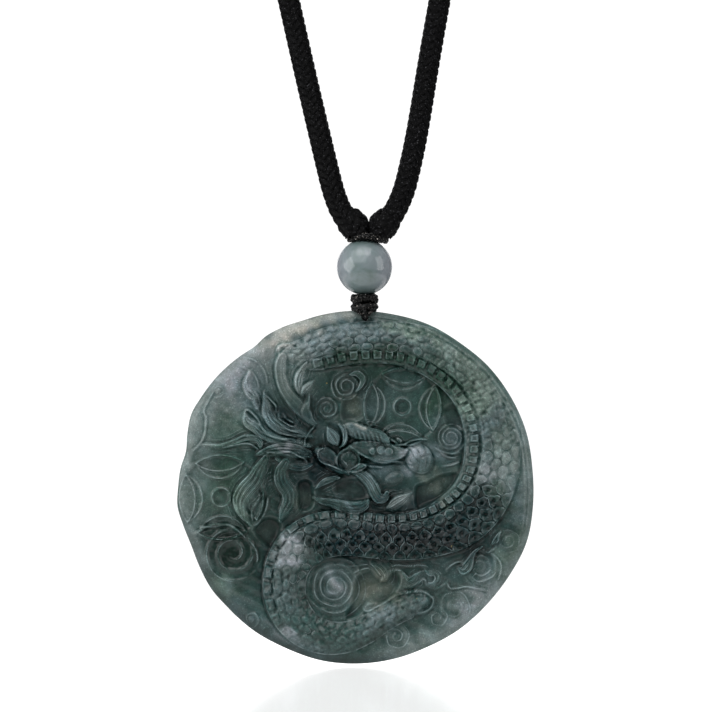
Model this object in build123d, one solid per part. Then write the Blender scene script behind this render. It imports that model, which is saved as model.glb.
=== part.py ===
from build123d import *
import os
from math import atan2, cos, degrees, hypot, pi, radians, sin, tan

# A carved jade plaque, a jade bead and black thread wraps on a black braided neck cord.
# Millimetres. X to the right of the carved front, Y to the back, Z up. The origin is where the
# cord rests on the nape. The bead's centre is the centre of all that hangs.

# Clearance between pieces that touch on the real one.
gap = 0.06

# Neck cord.
cord_d = 3.0
cord_end_z = 4.65

# Round bead with its bore and the thread in it.
bead_d = 8.0
bead_bore_d = 1.7
bead_thread_d = 1.3

# Oval thread wrap on top of the bead.
collar_x = 0.5
collar_w = 6.1
collar_depth = 4.4
collar_low_z = 3.3
collar_edge_r = 0.55

# Thread knot under the bead: two lumps, wider from front to back than the plaque's edge.
knot_h = 2.65
knot_climb = 0.45
knot_upper_w = 4.1
knot_upper_depth = 4.6
knot_lower_w = 4.0
knot_lower_depth = 6.2
knot_upper_share = 0.5
knot_edge_share = 0.347

# Plaque: mean radius, place of its centre from the bead's, and its levels from the thread's plane.
disc_r = 25.25
disc_x = -1.16
back_level = -2.6
field_level = 1.7
rim_bevel = 1.3
rim_bevel_depth = 0.9
back_bevel = 1.0
back_bevel_depth = 1.7
flat_depth = 0.7
embed = 0.5

# Hole at the plaque's top and the thread that goes through it.
hole_d = 1.2
hole_below_edge = 1.2
loop_thread_d = 0.8
loop_x = 0.1
loop_stand_off = 0.95
loop_corner_r = 0.45
loop_drop = 0.45
loop_leave_share = 0.62

# Raised work on the plaque, above the field.
coil_rise = 1.7
scute_rise = 0.35
scute_len = 1.15
scute_w = 1.2
scute_pitch = 1.8
dome_sides = 14
dome_lifts = (12, 36, 58, 76)
line_rise = 0.45
lock_rise = 1.2
line_w = 0.5

# Route of the neck cord from the collar round the nape and back, from the bead's centre.
route = [
    (-1.1, 0.0, 4.2),
    (-1.75, 0.0, 6.5),
    (-3.7, 0.1, 8.5),
    (-4.9, 0.5, 12.5),
    (-6.5, 1.4, 19.2),
    (-9.3, 3.2, 31.2),
    (-14.2, 6.9, 53.5),
    (-24.3, 15.5, 96.0),
    (-36.5, 30.0, 150.0),
    (-48.5, 50.0, 200.0),
    (-56.5, 70.0, 232.0),
    (-54.5, 92.0, 257.0),
    (-39.0, 109.0, 275.0),
    (-14.0, 117.5, 284.0),
    (14.0, 117.5, 284.0),
    (39.0, 109.0, 275.0),
    (54.5, 92.0, 257.0),
    (56.5, 70.0, 232.0),
    (48.5, 50.0, 200.0),
    (36.0, 30.0, 150.0),
    (23.4, 15.5, 96.0),
    (13.6, 6.9, 53.5),
    (9.5, 3.2, 31.2),
    (7.6, 1.4, 19.2),
    (6.1, 0.5, 12.4),
    (4.95, 0.1, 8.4),
    (2.75, 0.0, 6.5),
    (2.0, 0.0, 4.2),
]
nape_y = max(point[1] for point in route)
nape_z = max(point[2] for point in route)

# The plaque's outline: a corner, and a point on the arc from it to the next corner.
# Angles in degrees from +X, radii as shares of disc_r.
OUTLINE = [
    # corner, share, on arc, share
    (103, 1.002, 90, 1.002),
    (77, 1.003, 62, 1.002),
    (48, 1.002, 35, 1.013),
    (24, 1.026, 10, 1.023),
    (0, 1.010, -14, 0.995),
    (-31, 0.981, -48, 0.973),
    (-64, 0.988, -80, 0.989),
    (-92, 1.004, -107, 1.001),
    (-119, 0.987, -132, 0.990),
    (-145, 1.004, -156, 0.998),
    (-166, 1.006, -178, 1.004),
    (173, 0.996, 163, 0.999),
    (154, 1.029, 141, 1.012),
    (129, 0.985, 115, 1.001),
]

# The dragon's coil from behind the mane, over the top, down the right side, back across the
# middle and round the lower left to the tail. Places and half widths as shares of disc_r.
COIL = [
    # x, z, half width, rise share
    (-0.43, 0.70, 0.070, 0.45),
    (-0.27, 0.795, 0.098, 0.75),
    (-0.11, 0.835, 0.108, 0.85),
    (0.07, 0.835, 0.114, 0.9),
    (0.26, 0.81, 0.122, 0.9),
    (0.44, 0.745, 0.128, 0.9),
    (0.60, 0.635, 0.134, 0.9),
    (0.725, 0.475, 0.142, 0.9),
    (0.785, 0.285, 0.148, 0.95),
    (0.78, 0.10, 0.150, 1.0),
    (0.70, -0.08, 0.148, 1.0),
    (0.565, -0.20, 0.140, 1.0),
    (0.40, -0.265, 0.128, 1.0),
    (0.22, -0.28, 0.118, 1.0),
    (0.045, -0.272, 0.114, 1.0),
    (-0.12, -0.28, 0.110, 1.0),
    (-0.27, -0.325, 0.107, 1.0),
    (-0.365, -0.42, 0.105, 0.95),
    (-0.40, -0.545, 0.104, 0.9),
    (-0.38, -0.68, 0.101, 0.85),
    (-0.29, -0.79, 0.096, 0.8),
    (-0.15, -0.84, 0.088, 0.75),
    (0.0, -0.82, 0.080, 0.75),
    (0.14, -0.74, 0.078, 0.8),
    (0.275, -0.66, 0.070, 0.7),
    (0.37, -0.63, 0.030, 0.4),
]
# Across the coil: share of the half width, share of the rise.
COIL_SECTION = [(-1.0, 0.3), (-0.6, 0.82), (0.0, 1.0), (0.6, 0.82), (1.0, 0.3)]
scute_across = 0.72
scute_first_row = 1
scute_last_row = 19

# Rounded lumps of the head, the pearl and the tail: shares of disc_r, turn in degrees,
# rise in millimetres above the field.
LUMPS = {
    # x, z, half length, half width, turn, rise
    "cranium": (-0.14, 0.18, 0.125, 0.105, 0, 2.3),
    "muzzle": (0.12, 0.19, 0.150, 0.075, 4, 2.2),
    "brow": (0.01, 0.275, 0.145, 0.036, -8, 2.5),
    "nose": (0.225, 0.24, 0.055, 0.036, -30, 2.5),
    "ear": (-0.155, 0.29, 0.055, 0.050, 60, 2.4),
    "cheek": (0.06, 0.09, 0.105, 0.052, -20, 2.0),
    "pearl": (0.365, 0.16, 0.092, 0.076, 80, 2.4),
    "jaw": (0.14, -0.045, 0.095, 0.038, -62, 1.5),
    "chin": (0.25, -0.085, 0.060, 0.040, 15, 1.5),
    "tail_flesh": (0.24, -0.685, 0.150, 0.066, 25, 1.5),
}

# Horns, mane, beard and fringe: centre lines as rows of x, z and half width, shares of disc_r.
LOCKS = {
    "long_horn": [(-0.44, 0.75, 0.010), (-0.45, 0.60, 0.050), (-0.37, 0.46, 0.055), (-0.23, 0.36, 0.028)],
    "short_horn": [(-0.265, 0.60, 0.008), (-0.275, 0.48, 0.026), (-0.215, 0.37, 0.024)],
    "horn_leaf": [(-0.29, 0.72, 0.008), (-0.335, 0.62, 0.036), (-0.31, 0.52, 0.012)],
    "mane_top": [(-0.61, 0.60, 0.008), (-0.54, 0.46, 0.036), (-0.42, 0.34, 0.042), (-0.27, 0.28, 0.030)],
    "mane_high": [(-0.63, 0.42, 0.010), (-0.56, 0.33, 0.036), (-0.42, 0.28, 0.030), (-0.27, 0.25, 0.024)],
    "mane_mid": [(-0.84, 0.255, 0.008), (-0.70, 0.26, 0.024), (-0.56, 0.27, 0.040), (-0.40, 0.215, 0.038),
                 (-0.27, 0.20, 0.024)],
    "mane_low": [(-0.38, 0.18, 0.024), (-0.53, 0.12, 0.048), (-0.645, -0.02, 0.058), (-0.62, -0.14, 0.040),
                 (-0.605, -0.25, 0.008)],
    "mane_inner": [(-0.37, 0.16, 0.030), (-0.375, 0.04, 0.044), (-0.345, -0.08, 0.044), (-0.40, -0.18, 0.026),
                   (-0.455, -0.24, 0.008)],
    "beard_low": [(-0.25, -0.03, 0.014), (-0.14, -0.09, 0.034), (0.0, -0.12, 0.030), (0.09, -0.13, 0.008)],
    "beard_side": [(0.04, 0.03, 0.014), (0.10, -0.05, 0.030), (0.13, -0.13, 0.034), (0.20, -0.14, 0.012)],
    "fin": [(0.78, -0.27, 0.010), (0.60, -0.42, 0.040), (0.46, -0.50, 0.050), (0.31, -0.475, 0.036),
            (0.12, -0.425, 0.030), (-0.02, -0.45, 0.010)],
}

# Cloud scrolls: shares of disc_r, turns of the spiral, start in degrees and hand.
SCROLLS = [
    # x, z, outer radius, turns, start, hand
    (-0.065, 0.57, 0.080, 1.5, 200, 1),
    (-0.165, 0.44, 0.066, 1.5, 20, -1),
    (0.53, 0.28, 0.088, 1.75, 180, 1),
    (-0.715, -0.35, 0.150, 1.75, 60, -1),
    (-0.125, -0.575, 0.140, 2.0, 250, 1),
    (0.705, -0.435, 0.070, 1.5, 90, -1),
]

# Round coins with four petals: centre and radius, shares of disc_r.
COINS = [(0.265, 0.46, 0.227), (-0.76, -0.04, 0.240)]
coin_petal_share = 0.45
coin_eye_share = 0.23

# Polished flats cut below the field, corners as shares of disc_r.
FLATS = [
    [(0.34, 0.03), (0.53, 0.10), (0.55, 0.04), (0.48, -0.08), (0.36, -0.11)],
    [(-0.58, -0.22), (-0.48, -0.16), (-0.45, -0.24), (-0.51, -0.32)],
    [(0.02, -0.50), (0.19, -0.55), (0.20, -0.61), (0.03, -0.72), (0.0, -0.60)],
    [(-0.33, 0.0), (-0.26, 0.02), (-0.24, -0.08), (-0.31, -0.11)],
]


def cord_path(points):
    """Straight runs joined by arcs as large as the runs allow, with the arcs' radii."""
    corners = [Vector(*point) for point in points]
    radii = []
    for before, here, after in zip(corners, corners[1:], corners[2:]):
        turn = radians((here - before).get_angle(after - here))
        radii.append(0.45 * min((here - before).length, (after - here).length) / tan(turn / 2))
    return FilletPolyline(*corners, radius=radii), radii


def tube(points, diameter):
    path, radii = cord_path(points)
    section = Plane(origin=path @ 0, z_dir=path % 0) * Circle(diameter / 2)
    return sweep(section, path=path), path, radii


def neck_cord():
    cord, path, radii = tube(route, cord_d)
    below = Pos(0, 0, cord_end_z - cord_d) * Box(4 * cord_d, 4 * cord_d, 2 * cord_d)
    cord = cord - below
    print("neck cord length", round(path.length, 1), "volume over section times length",
          round(cord.volume / (pi * cord_d**2 / 4 * path.length), 4))
    print("neck cord radii", [round(radius, 1) for radius in radii])
    return cord


def bead():
    return Sphere(bead_d / 2) - Cylinder(bead_bore_d / 2, 2 * bead_d)


def bead_thread():
    top = bead_d / 2 + gap / 2
    bottom = -(bead_d / 2) + gap
    return Pos(0, 0, (top + bottom) / 2) * Cylinder(bead_thread_d / 2, top - bottom)


def oval_wrap(width, depth, low, high, edge):
    """A flat oval lump between two levels, with round edges."""
    lump = Pos(0, 0, low) * extrude(Ellipse(width / 2, depth / 2), high - low)
    return fillet(lump.edges(), edge)


def cord_collar():
    lump = oval_wrap(collar_w, collar_depth, collar_low_z, cord_end_z - gap, collar_edge_r)
    return Pos(collar_x, 0, 0) * lump - Sphere(bead_d / 2 + gap)


def lower_knot(top, bottom):
    waist = top + (bottom - top) * knot_upper_share
    edge = knot_edge_share * knot_h / 2
    upper = oval_wrap(knot_upper_w, knot_upper_depth, waist - edge / 2, top, edge)
    lower = oval_wrap(knot_lower_w, knot_lower_depth, bottom, waist + edge / 2, edge)
    seat = Sphere(bead_d / 2 + gap)
    return upper + lower - seat


def disc_point(angle, share, inset=0.0):
    radius = disc_r * share - inset
    return (radius * cos(radians(angle)), radius * sin(radians(angle)))


def disc_face(inset):
    """The plaque's outline, drawn in by inset, as a face of arcs."""
    arcs = []
    for row, following in zip(OUTLINE, OUTLINE[1:] + OUTLINE[:1]):
        arcs.append(ThreePointArc(disc_point(row[0], row[1], inset), disc_point(row[2], row[3], inset),
                                  disc_point(following[0], following[1], inset)))
    return make_face(Curve() + arcs)


def disc_blank():
    """The plaque without its carving: bevelled back and front edges."""
    levels = [
        # level, inset
        (back_level, back_bevel),
        (back_level + 0.41 * back_bevel_depth, 0.25 * back_bevel),
        (back_level + back_bevel_depth, 0.0),
        (field_level - rim_bevel_depth, 0.0),
        (field_level - 0.3 * rim_bevel_depth, 0.45 * rim_bevel),
        (field_level, rim_bevel),
    ]
    sections = [Pos(0, 0, level) * disc_face(inset) for level, inset in levels]
    return loft(sections, ruled=True)


def smooth_rows(rows, steps):
    """More rows between the given ones, on a curve through them."""
    ends = [rows[0]] + list(rows) + [rows[-1]]
    found = []
    for a, b, c, d in zip(ends, ends[1:], ends[2:], ends[3:]):
        for step in range(steps):
            t = step / steps
            found.append(tuple(
                0.5 * (2 * q + (r - p) * t + (2 * p - 5 * q + 4 * r - s) * t * t
                       + (3 * q - p - 3 * r + s) * t**3)
                for p, q, r, s in zip(a, b, c, d)))
    return found + [tuple(rows[-1])]


def normals(points):
    """The unit vector to the right of the way at each point."""
    found = []
    for index in range(len(points)):
        a = points[max(index - 1, 0)]
        b = points[min(index + 1, len(points) - 1)]
        dx, dz = b[0] - a[0], b[1] - a[1]
        size = hypot(dx, dz)
        found.append((dz / size, -dx / size))
    return found


def ribbon(rows):
    """A flat strip along rows of x, z and half width, in millimetres."""
    sides = normals(rows)
    right = [(x + nx * w, z + nz * w) for (x, z, w), (nx, nz) in zip(rows, sides)]
    left = [(x - nx * w, z - nz * w) for (x, z, w), (nx, nz) in zip(rows, sides)]
    return make_face(Polyline(*(right + left[::-1]), close=True))


def coil():
    """The dragon's coil, a domed band lofted along its rows."""
    sections = []
    for (x, z, half, share), (nx, nz) in zip(COIL, normals(COIL)):
        edge = [(a, coil_rise * share * up) for a, up in COIL_SECTION]
        edge = [(-1.0, -embed)] + edge + [(1.0, -embed)]
        corners = [Vector(disc_r * (x + nx * a * half), disc_r * (z + nz * a * half), field_level + up)
                   for a, up in edge]
        sections.append(make_face(Polyline(*corners, close=True)))
    return loft(sections, ruled=True)


def scutes():
    """Square belly scutes in a row along the coil's inner edge."""
    line = []
    for (x, z, half, share), (nx, nz) in zip(COIL, normals(COIL)):
        reach = half * scute_across
        line.append((disc_r * (x + nx * reach), disc_r * (z + nz * reach), share))
    line = smooth_rows(line[scute_first_row:scute_last_row + 1], 6)
    found = []
    travelled = scute_pitch / 2
    for (ax, az, share), (bx, bz, _) in zip(line, line[1:]):
        travelled += hypot(bx - ax, bz - az)
        if travelled < scute_pitch:
            continue
        travelled -= scute_pitch
        top = field_level + coil_rise * share * COIL_SECTION[3][1] + scute_rise
        height = top - field_level + embed
        turn = degrees(atan2(bz - az, bx - ax))
        block = Box(scute_len, scute_w, height)
        found.append(Pos(bx, bz, top - height / 2) * Rot(0, 0, turn) * block)
    return found


def lump(x, z, half_length, half_width, turn, rise):
    """A faceted dome that rises so far above the field, from a foot sunk into it."""
    rings = [Pos(0, 0, -embed) * dome_ring(half_length, half_width)]
    for lift in dome_lifts:
        reach = cos(radians(lift))
        rings.append(Pos(0, 0, rise * sin(radians(lift))) * dome_ring(half_length * reach, half_width * reach))
    return Pos(disc_r * x, disc_r * z, field_level) * Rot(0, 0, turn) * loft(rings, ruled=True)


def dome_ring(half_length, half_width):
    corners = []
    for side in range(dome_sides):
        angle = 2 * pi * side / dome_sides
        corners.append((disc_r * half_length * cos(angle), disc_r * half_width * sin(angle)))
    return make_face(Polyline(*corners, close=True))


def raised(face, rise):
    return Pos(0, 0, field_level - embed) * extrude(face, rise + embed)


def lock(rows):
    rows = [(disc_r * x, disc_r * z, disc_r * half) for x, z, half in rows]
    return ribbon(smooth_rows(rows, 3))


def scroll(x, z, radius, turns, start, hand):
    """A spiral line that winds in to a small end."""
    steps = int(turns * 14)
    rows = []
    for step in range(steps + 1):
        share = step / steps
        angle = radians(start + hand * 360 * turns * share)
        reach = disc_r * radius * (1 - 0.85 * share)
        rows.append((disc_r * x + reach * cos(angle), disc_r * z + reach * sin(angle),
                     line_w / 2 * (1 - 0.4 * share)))
    return ribbon(rows)


def coin(x, z, radius):
    """A coin: a ring, four petals that lean on it, and a small ring at the middle."""
    ring = disc_r * radius
    inner = ring - line_w
    petals = Circle(ring) - Circle(inner)
    reach = 2 * ring - ring * coin_petal_share
    for quarter in range(4):
        side = Pos(reach * cos(pi / 2 * quarter), reach * sin(pi / 2 * quarter))
        petals += (side * Circle(ring) - side * Circle(inner)) & Circle(ring)
    eye = ring * coin_eye_share
    petals += Circle(eye) - Circle(eye - line_w)
    return Pos(disc_r * x, disc_r * z) * petals


def flat_cut(corners):
    face = make_face(Polyline(*[(disc_r * x, disc_r * z) for x, z in corners], close=True))
    return Pos(0, 0, field_level - flat_depth) * extrude(face, 2 * flat_depth)


def jade_disc(top_z):
    """The plaque, modelled flat with its front up, then stood up with its front to -Y."""
    centre_z = top_z - disc_r * OUTLINE[0][3]
    bore = Cylinder(hole_d / 2, 4 * disc_r)
    hole = Pos(loop_x - disc_x, top_z - hole_below_edge - centre_z, 0) * bore
    field = disc_face(rim_bevel)
    lines = Sketch() + [scroll(*row) for row in SCROLLS] + [coin(*row) & field for row in COINS]
    strands = Sketch() + [lock(rows) for rows in LOCKS.values()]
    lumps = [lump(*row) for row in LUMPS.values()]
    head = lumps[0].fuse(*lumps[1:])
    carved = disc_blank() - [flat_cut(corners) for corners in FLATS] - hole
    for work in ([raised(lines, line_rise)], [raised(strands, lock_rise)], [coil() - hole], head.solids(),
                 scutes()):
        carved = carved.fuse(*work)
    return Pos(disc_x, 0, centre_z) * Rot(90, 0, 0) * carved.clean()


def pendant_loop(knot_bottom, top_z):
    """The thread from the knot's underside, through the plaque's hole and up behind."""
    hole_z = top_z - hole_below_edge
    front = -field_level - loop_stand_off
    back = -back_level + loop_stand_off
    start = knot_bottom - gap
    points = [
        (loop_x, front * loop_leave_share, start),
        (loop_x, front, start - loop_drop),
        (loop_x, front, hole_z),
        (loop_x, back, hole_z),
        (loop_x, back, start - loop_drop),
        (loop_x, back * loop_leave_share, start),
    ]
    path = FilletPolyline(*points, radius=loop_corner_r)
    section = Plane(origin=path @ 0, z_dir=path % 0) * Circle(loop_thread_d / 2)
    thread = sweep(section, path=path)
    above = Pos(0, 0, start + disc_r) * Box(2 * disc_r, 2 * disc_r, 2 * disc_r)
    return thread - above


def build():
    knot_top = knot_climb - bead_d / 2
    knot_bottom = knot_top - knot_h
    disc_top = knot_bottom - gap
    pieces = {
        "neck_cord": neck_cord(),
        "cord_collar": cord_collar(),
        "jade_bead": bead(),
        "bead_thread": bead_thread(),
        "lower_knot": lower_knot(knot_top, knot_bottom),
        "pendant_loop": pendant_loop(knot_bottom, disc_top),
        "jade_disc": jade_disc(disc_top),
    }
    seat = Pos(0, cord_d / 2 - nape_y, -nape_z)
    return {name: seat * piece for name, piece in pieces.items()}


os.makedirs("parts", exist_ok=True)
for name, piece in build().items():
    export_step(piece, f"parts/{name}.step")
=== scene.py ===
"""Dresses a carved jade plaque, its bead, thread wraps and braided neck cord."""

from math import cos, hypot, pi, radians, sin

import bpy
import numpy as np
from bpy.props import FloatProperty, FloatVectorProperty, IntProperty, PointerProperty
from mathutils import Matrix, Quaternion, Vector


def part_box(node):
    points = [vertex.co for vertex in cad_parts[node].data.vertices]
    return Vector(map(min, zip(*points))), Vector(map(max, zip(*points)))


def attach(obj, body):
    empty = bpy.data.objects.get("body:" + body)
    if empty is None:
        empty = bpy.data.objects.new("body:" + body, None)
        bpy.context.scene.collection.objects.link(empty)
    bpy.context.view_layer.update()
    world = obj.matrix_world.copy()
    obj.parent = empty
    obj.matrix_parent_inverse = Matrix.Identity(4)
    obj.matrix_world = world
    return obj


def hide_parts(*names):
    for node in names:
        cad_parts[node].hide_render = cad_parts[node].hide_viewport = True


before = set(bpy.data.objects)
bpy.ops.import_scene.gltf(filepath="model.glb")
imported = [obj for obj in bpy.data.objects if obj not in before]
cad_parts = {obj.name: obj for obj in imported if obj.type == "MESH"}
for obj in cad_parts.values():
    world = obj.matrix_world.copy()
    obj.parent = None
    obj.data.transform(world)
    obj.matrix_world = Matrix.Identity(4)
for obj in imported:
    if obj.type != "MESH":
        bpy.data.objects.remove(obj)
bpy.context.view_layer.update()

bl_info = {
    "name": "Jade dragon pendant",
    "version": (1, 0, 0),
    "blender": (4, 5, 0),
    "location": "3D View > Sidebar > Pendant",
    "description": "Carved jade plaque and bead on a braided black neck cord",
    "category": "Object",
}

MM = 0.001
BODY = "root"

# Places that the pieces share, from the frame. All that hangs is placed from the bead's centre.
BEAD_LOW, BEAD_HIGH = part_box("jade_bead")
BEAD_CENTRE = (BEAD_LOW + BEAD_HIGH) / 2
BEAD_RADIUS = (BEAD_HIGH.x - BEAD_LOW.x) / 2
PLAQUE_CENTRE = BEAD_CENTRE + Vector((-1.16, 0, -31.56)) * MM
PLAQUE_LOW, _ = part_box("jade_disc")
HOLE_CENTRE = BEAD_CENTRE + Vector((0.1, 0, -7.30)) * MM

# The photograph: its size in pixels, the pixels to a millimetre on the plaque, and the pixel at
# the bead's centre.
PHOTO_SIZE = 712
PHOTO_SCALE = 6.976
BEAD_PIXEL = (364.5, 267.0)

# The plaque's outline: angle in degrees from +X, share of the plaque's radius.
OUTLINE = [
    # angle, share
    (-180, 1.011), (-174, 1.020), (-168, 1.006), (-161, 0.993), (-154, 0.996), (-145, 1.004),
    (-137, 0.998), (-126, 1.000), (-114, 0.996), (-101, 1.002), (-89, 1.000), (-77, 0.996),
    (-66, 0.991), (-54, 0.995), (-42, 0.994), (-30, 1.001), (-18, 1.014), (-6, 1.007),
    (6, 1.004), (18, 1.013), (30, 1.015), (43, 1.015), (54, 1.008), (66, 1.010), (78, 1.003),
    (90, 1.002), (102, 0.997), (108, 0.994), (115, 1.000), (121, 0.999), (126, 0.985), (132, 0.995),
    (141, 1.009), (150, 1.018), (156, 1.024), (162, 1.007), (168, 0.988), (174, 1.003),
]

# The dragon's coil, from behind the horns over the top, down the right side, back across the
# middle and round the lower left to the tail. Places and half widths are shares of the plaque's
# radius, the two rows across the coil are shares of its half width, and crisp is how sharp its
# scales are cut.
COIL = [
    # x, z, half width, rise, scute row, border row, crisp, scutes
    (-0.411, 0.768, 0.048, 0.15, 0.70, 0.50, 0.20, 0.1),
    (-0.329, 0.760, 0.078, 0.32, 0.66, 0.44, 0.30, 0.3),
    (-0.246, 0.768, 0.107, 0.65, 0.62, 0.40, 0.50, 0.9),
    (-0.150, 0.795, 0.117, 0.75, 0.60, 0.38, 0.45, 1.0),
    (-0.026, 0.816, 0.119, 0.80, 0.60, 0.38, 0.50, 1.0),
    (0.098, 0.824, 0.121, 0.85, 0.60, 0.38, 0.55, 1.0),
    (0.222, 0.819, 0.124, 0.85, 0.60, 0.38, 0.50, 1.0),
    (0.345, 0.793, 0.131, 0.85, 0.60, 0.37, 0.40, 1.0),
    (0.469, 0.740, 0.138, 0.85, 0.60, 0.35, 0.35, 1.0),
    (0.579, 0.665, 0.144, 0.85, 0.62, 0.34, 0.30, 1.0),
    (0.669, 0.568, 0.149, 0.85, 0.66, 0.33, 0.30, 1.0),
    (0.731, 0.458, 0.154, 0.90, 0.66, 0.33, 0.30, 1.0),
    (0.765, 0.334, 0.158, 0.90, 0.65, 0.33, 0.35, 1.0),
    (0.772, 0.211, 0.161, 0.95, 0.66, 0.35, 0.50, 1.0),
    (0.758, 0.094, 0.162, 1.00, 0.68, 0.38, 0.60, 1.0),
    (0.720, -0.017, 0.164, 1.00, 0.71, 0.44, 0.80, 1.0),
    (0.655, -0.113, 0.165, 1.00, 0.74, 0.50, 1.00, 1.0),
    (0.563, -0.191, 0.162, 1.00, 0.77, 0.54, 1.00, 1.0),
    (0.449, -0.244, 0.147, 1.00, 0.79, 0.56, 1.00, 1.0),
    (0.332, -0.272, 0.138, 1.00, 0.80, 0.58, 1.00, 1.0),
    (0.215, -0.280, 0.132, 1.00, 0.80, 0.58, 1.00, 1.0),
    (0.105, -0.274, 0.129, 1.00, 0.80, 0.58, 1.00, 1.0),
    (-0.010, -0.262, 0.129, 1.00, 0.82, 0.60, 1.00, 1.0),
    (-0.122, -0.259, 0.132, 1.00, 0.84, 0.62, 1.00, 1.0),
    (-0.233, -0.285, 0.135, 1.00, 0.85, 0.62, 0.95, 1.0),
    (-0.319, -0.340, 0.135, 0.95, 0.85, 0.62, 0.60, 1.0),
    (-0.381, -0.427, 0.129, 0.90, 0.80, 0.56, 0.45, 1.0),
    (-0.407, -0.522, 0.124, 0.85, 0.77, 0.50, 0.35, 1.0),
    (-0.403, -0.622, 0.121, 0.80, 0.77, 0.50, 0.35, 0.9),
    (-0.363, -0.722, 0.116, 0.70, 0.78, 0.52, 0.35, 0.6),
    (-0.285, -0.805, 0.107, 0.60, 0.80, 0.55, 0.35, 0.3),
    (-0.178, -0.849, 0.099, 0.55, 0.85, 0.65, 0.30, 0.1),
    (-0.065, -0.849, 0.091, 0.50, 0.90, 0.75, 0.25, 0.0),
    (0.043, -0.811, 0.083, 0.50, 0.95, 0.85, 0.20, 0.0),
    (0.136, -0.750, 0.080, 0.60, 0.98, 0.95, 0.20, 0.0),
    (0.235, -0.695, 0.077, 0.70, 0.98, 0.95, 0.20, 0.0),
    (0.332, -0.656, 0.070, 0.60, 0.98, 0.95, 0.20, 0.0),
    (0.394, -0.637, 0.040, 0.40, 0.98, 0.95, 0.20, 0.0),
]
COIL_RISE = 1.7
SCUTE_PITCH = 1.81
SCUTE_HALF = (0.60, 0.56)
SCALE_PITCH = 1.86
SCALE_ROWS = 4

# The arris value of a place is how far it lies inside an edge or ridge, in millimetres, and it is
# given as far out as ARRIS_REACH. Inside a soft edge it starts at SOFT_ARRIS. NO_ARRIS stands
# where there is none, and UNMARKED leaves a place as it was.
ARRIS_REACH = 0.35
SOFT_ARRIS = 0.4
NO_ARRIS = -1.0
UNMARKED = -9
# The groove cut round a laid form: how far out its middle lies and how wide it is, and how far a
# thin line takes to run out at each end, all in millimetres.
GROOVE_OUT = 0.16
GROOVE_WIDTH = 0.17
LINE_FADE = 0.8

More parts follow.
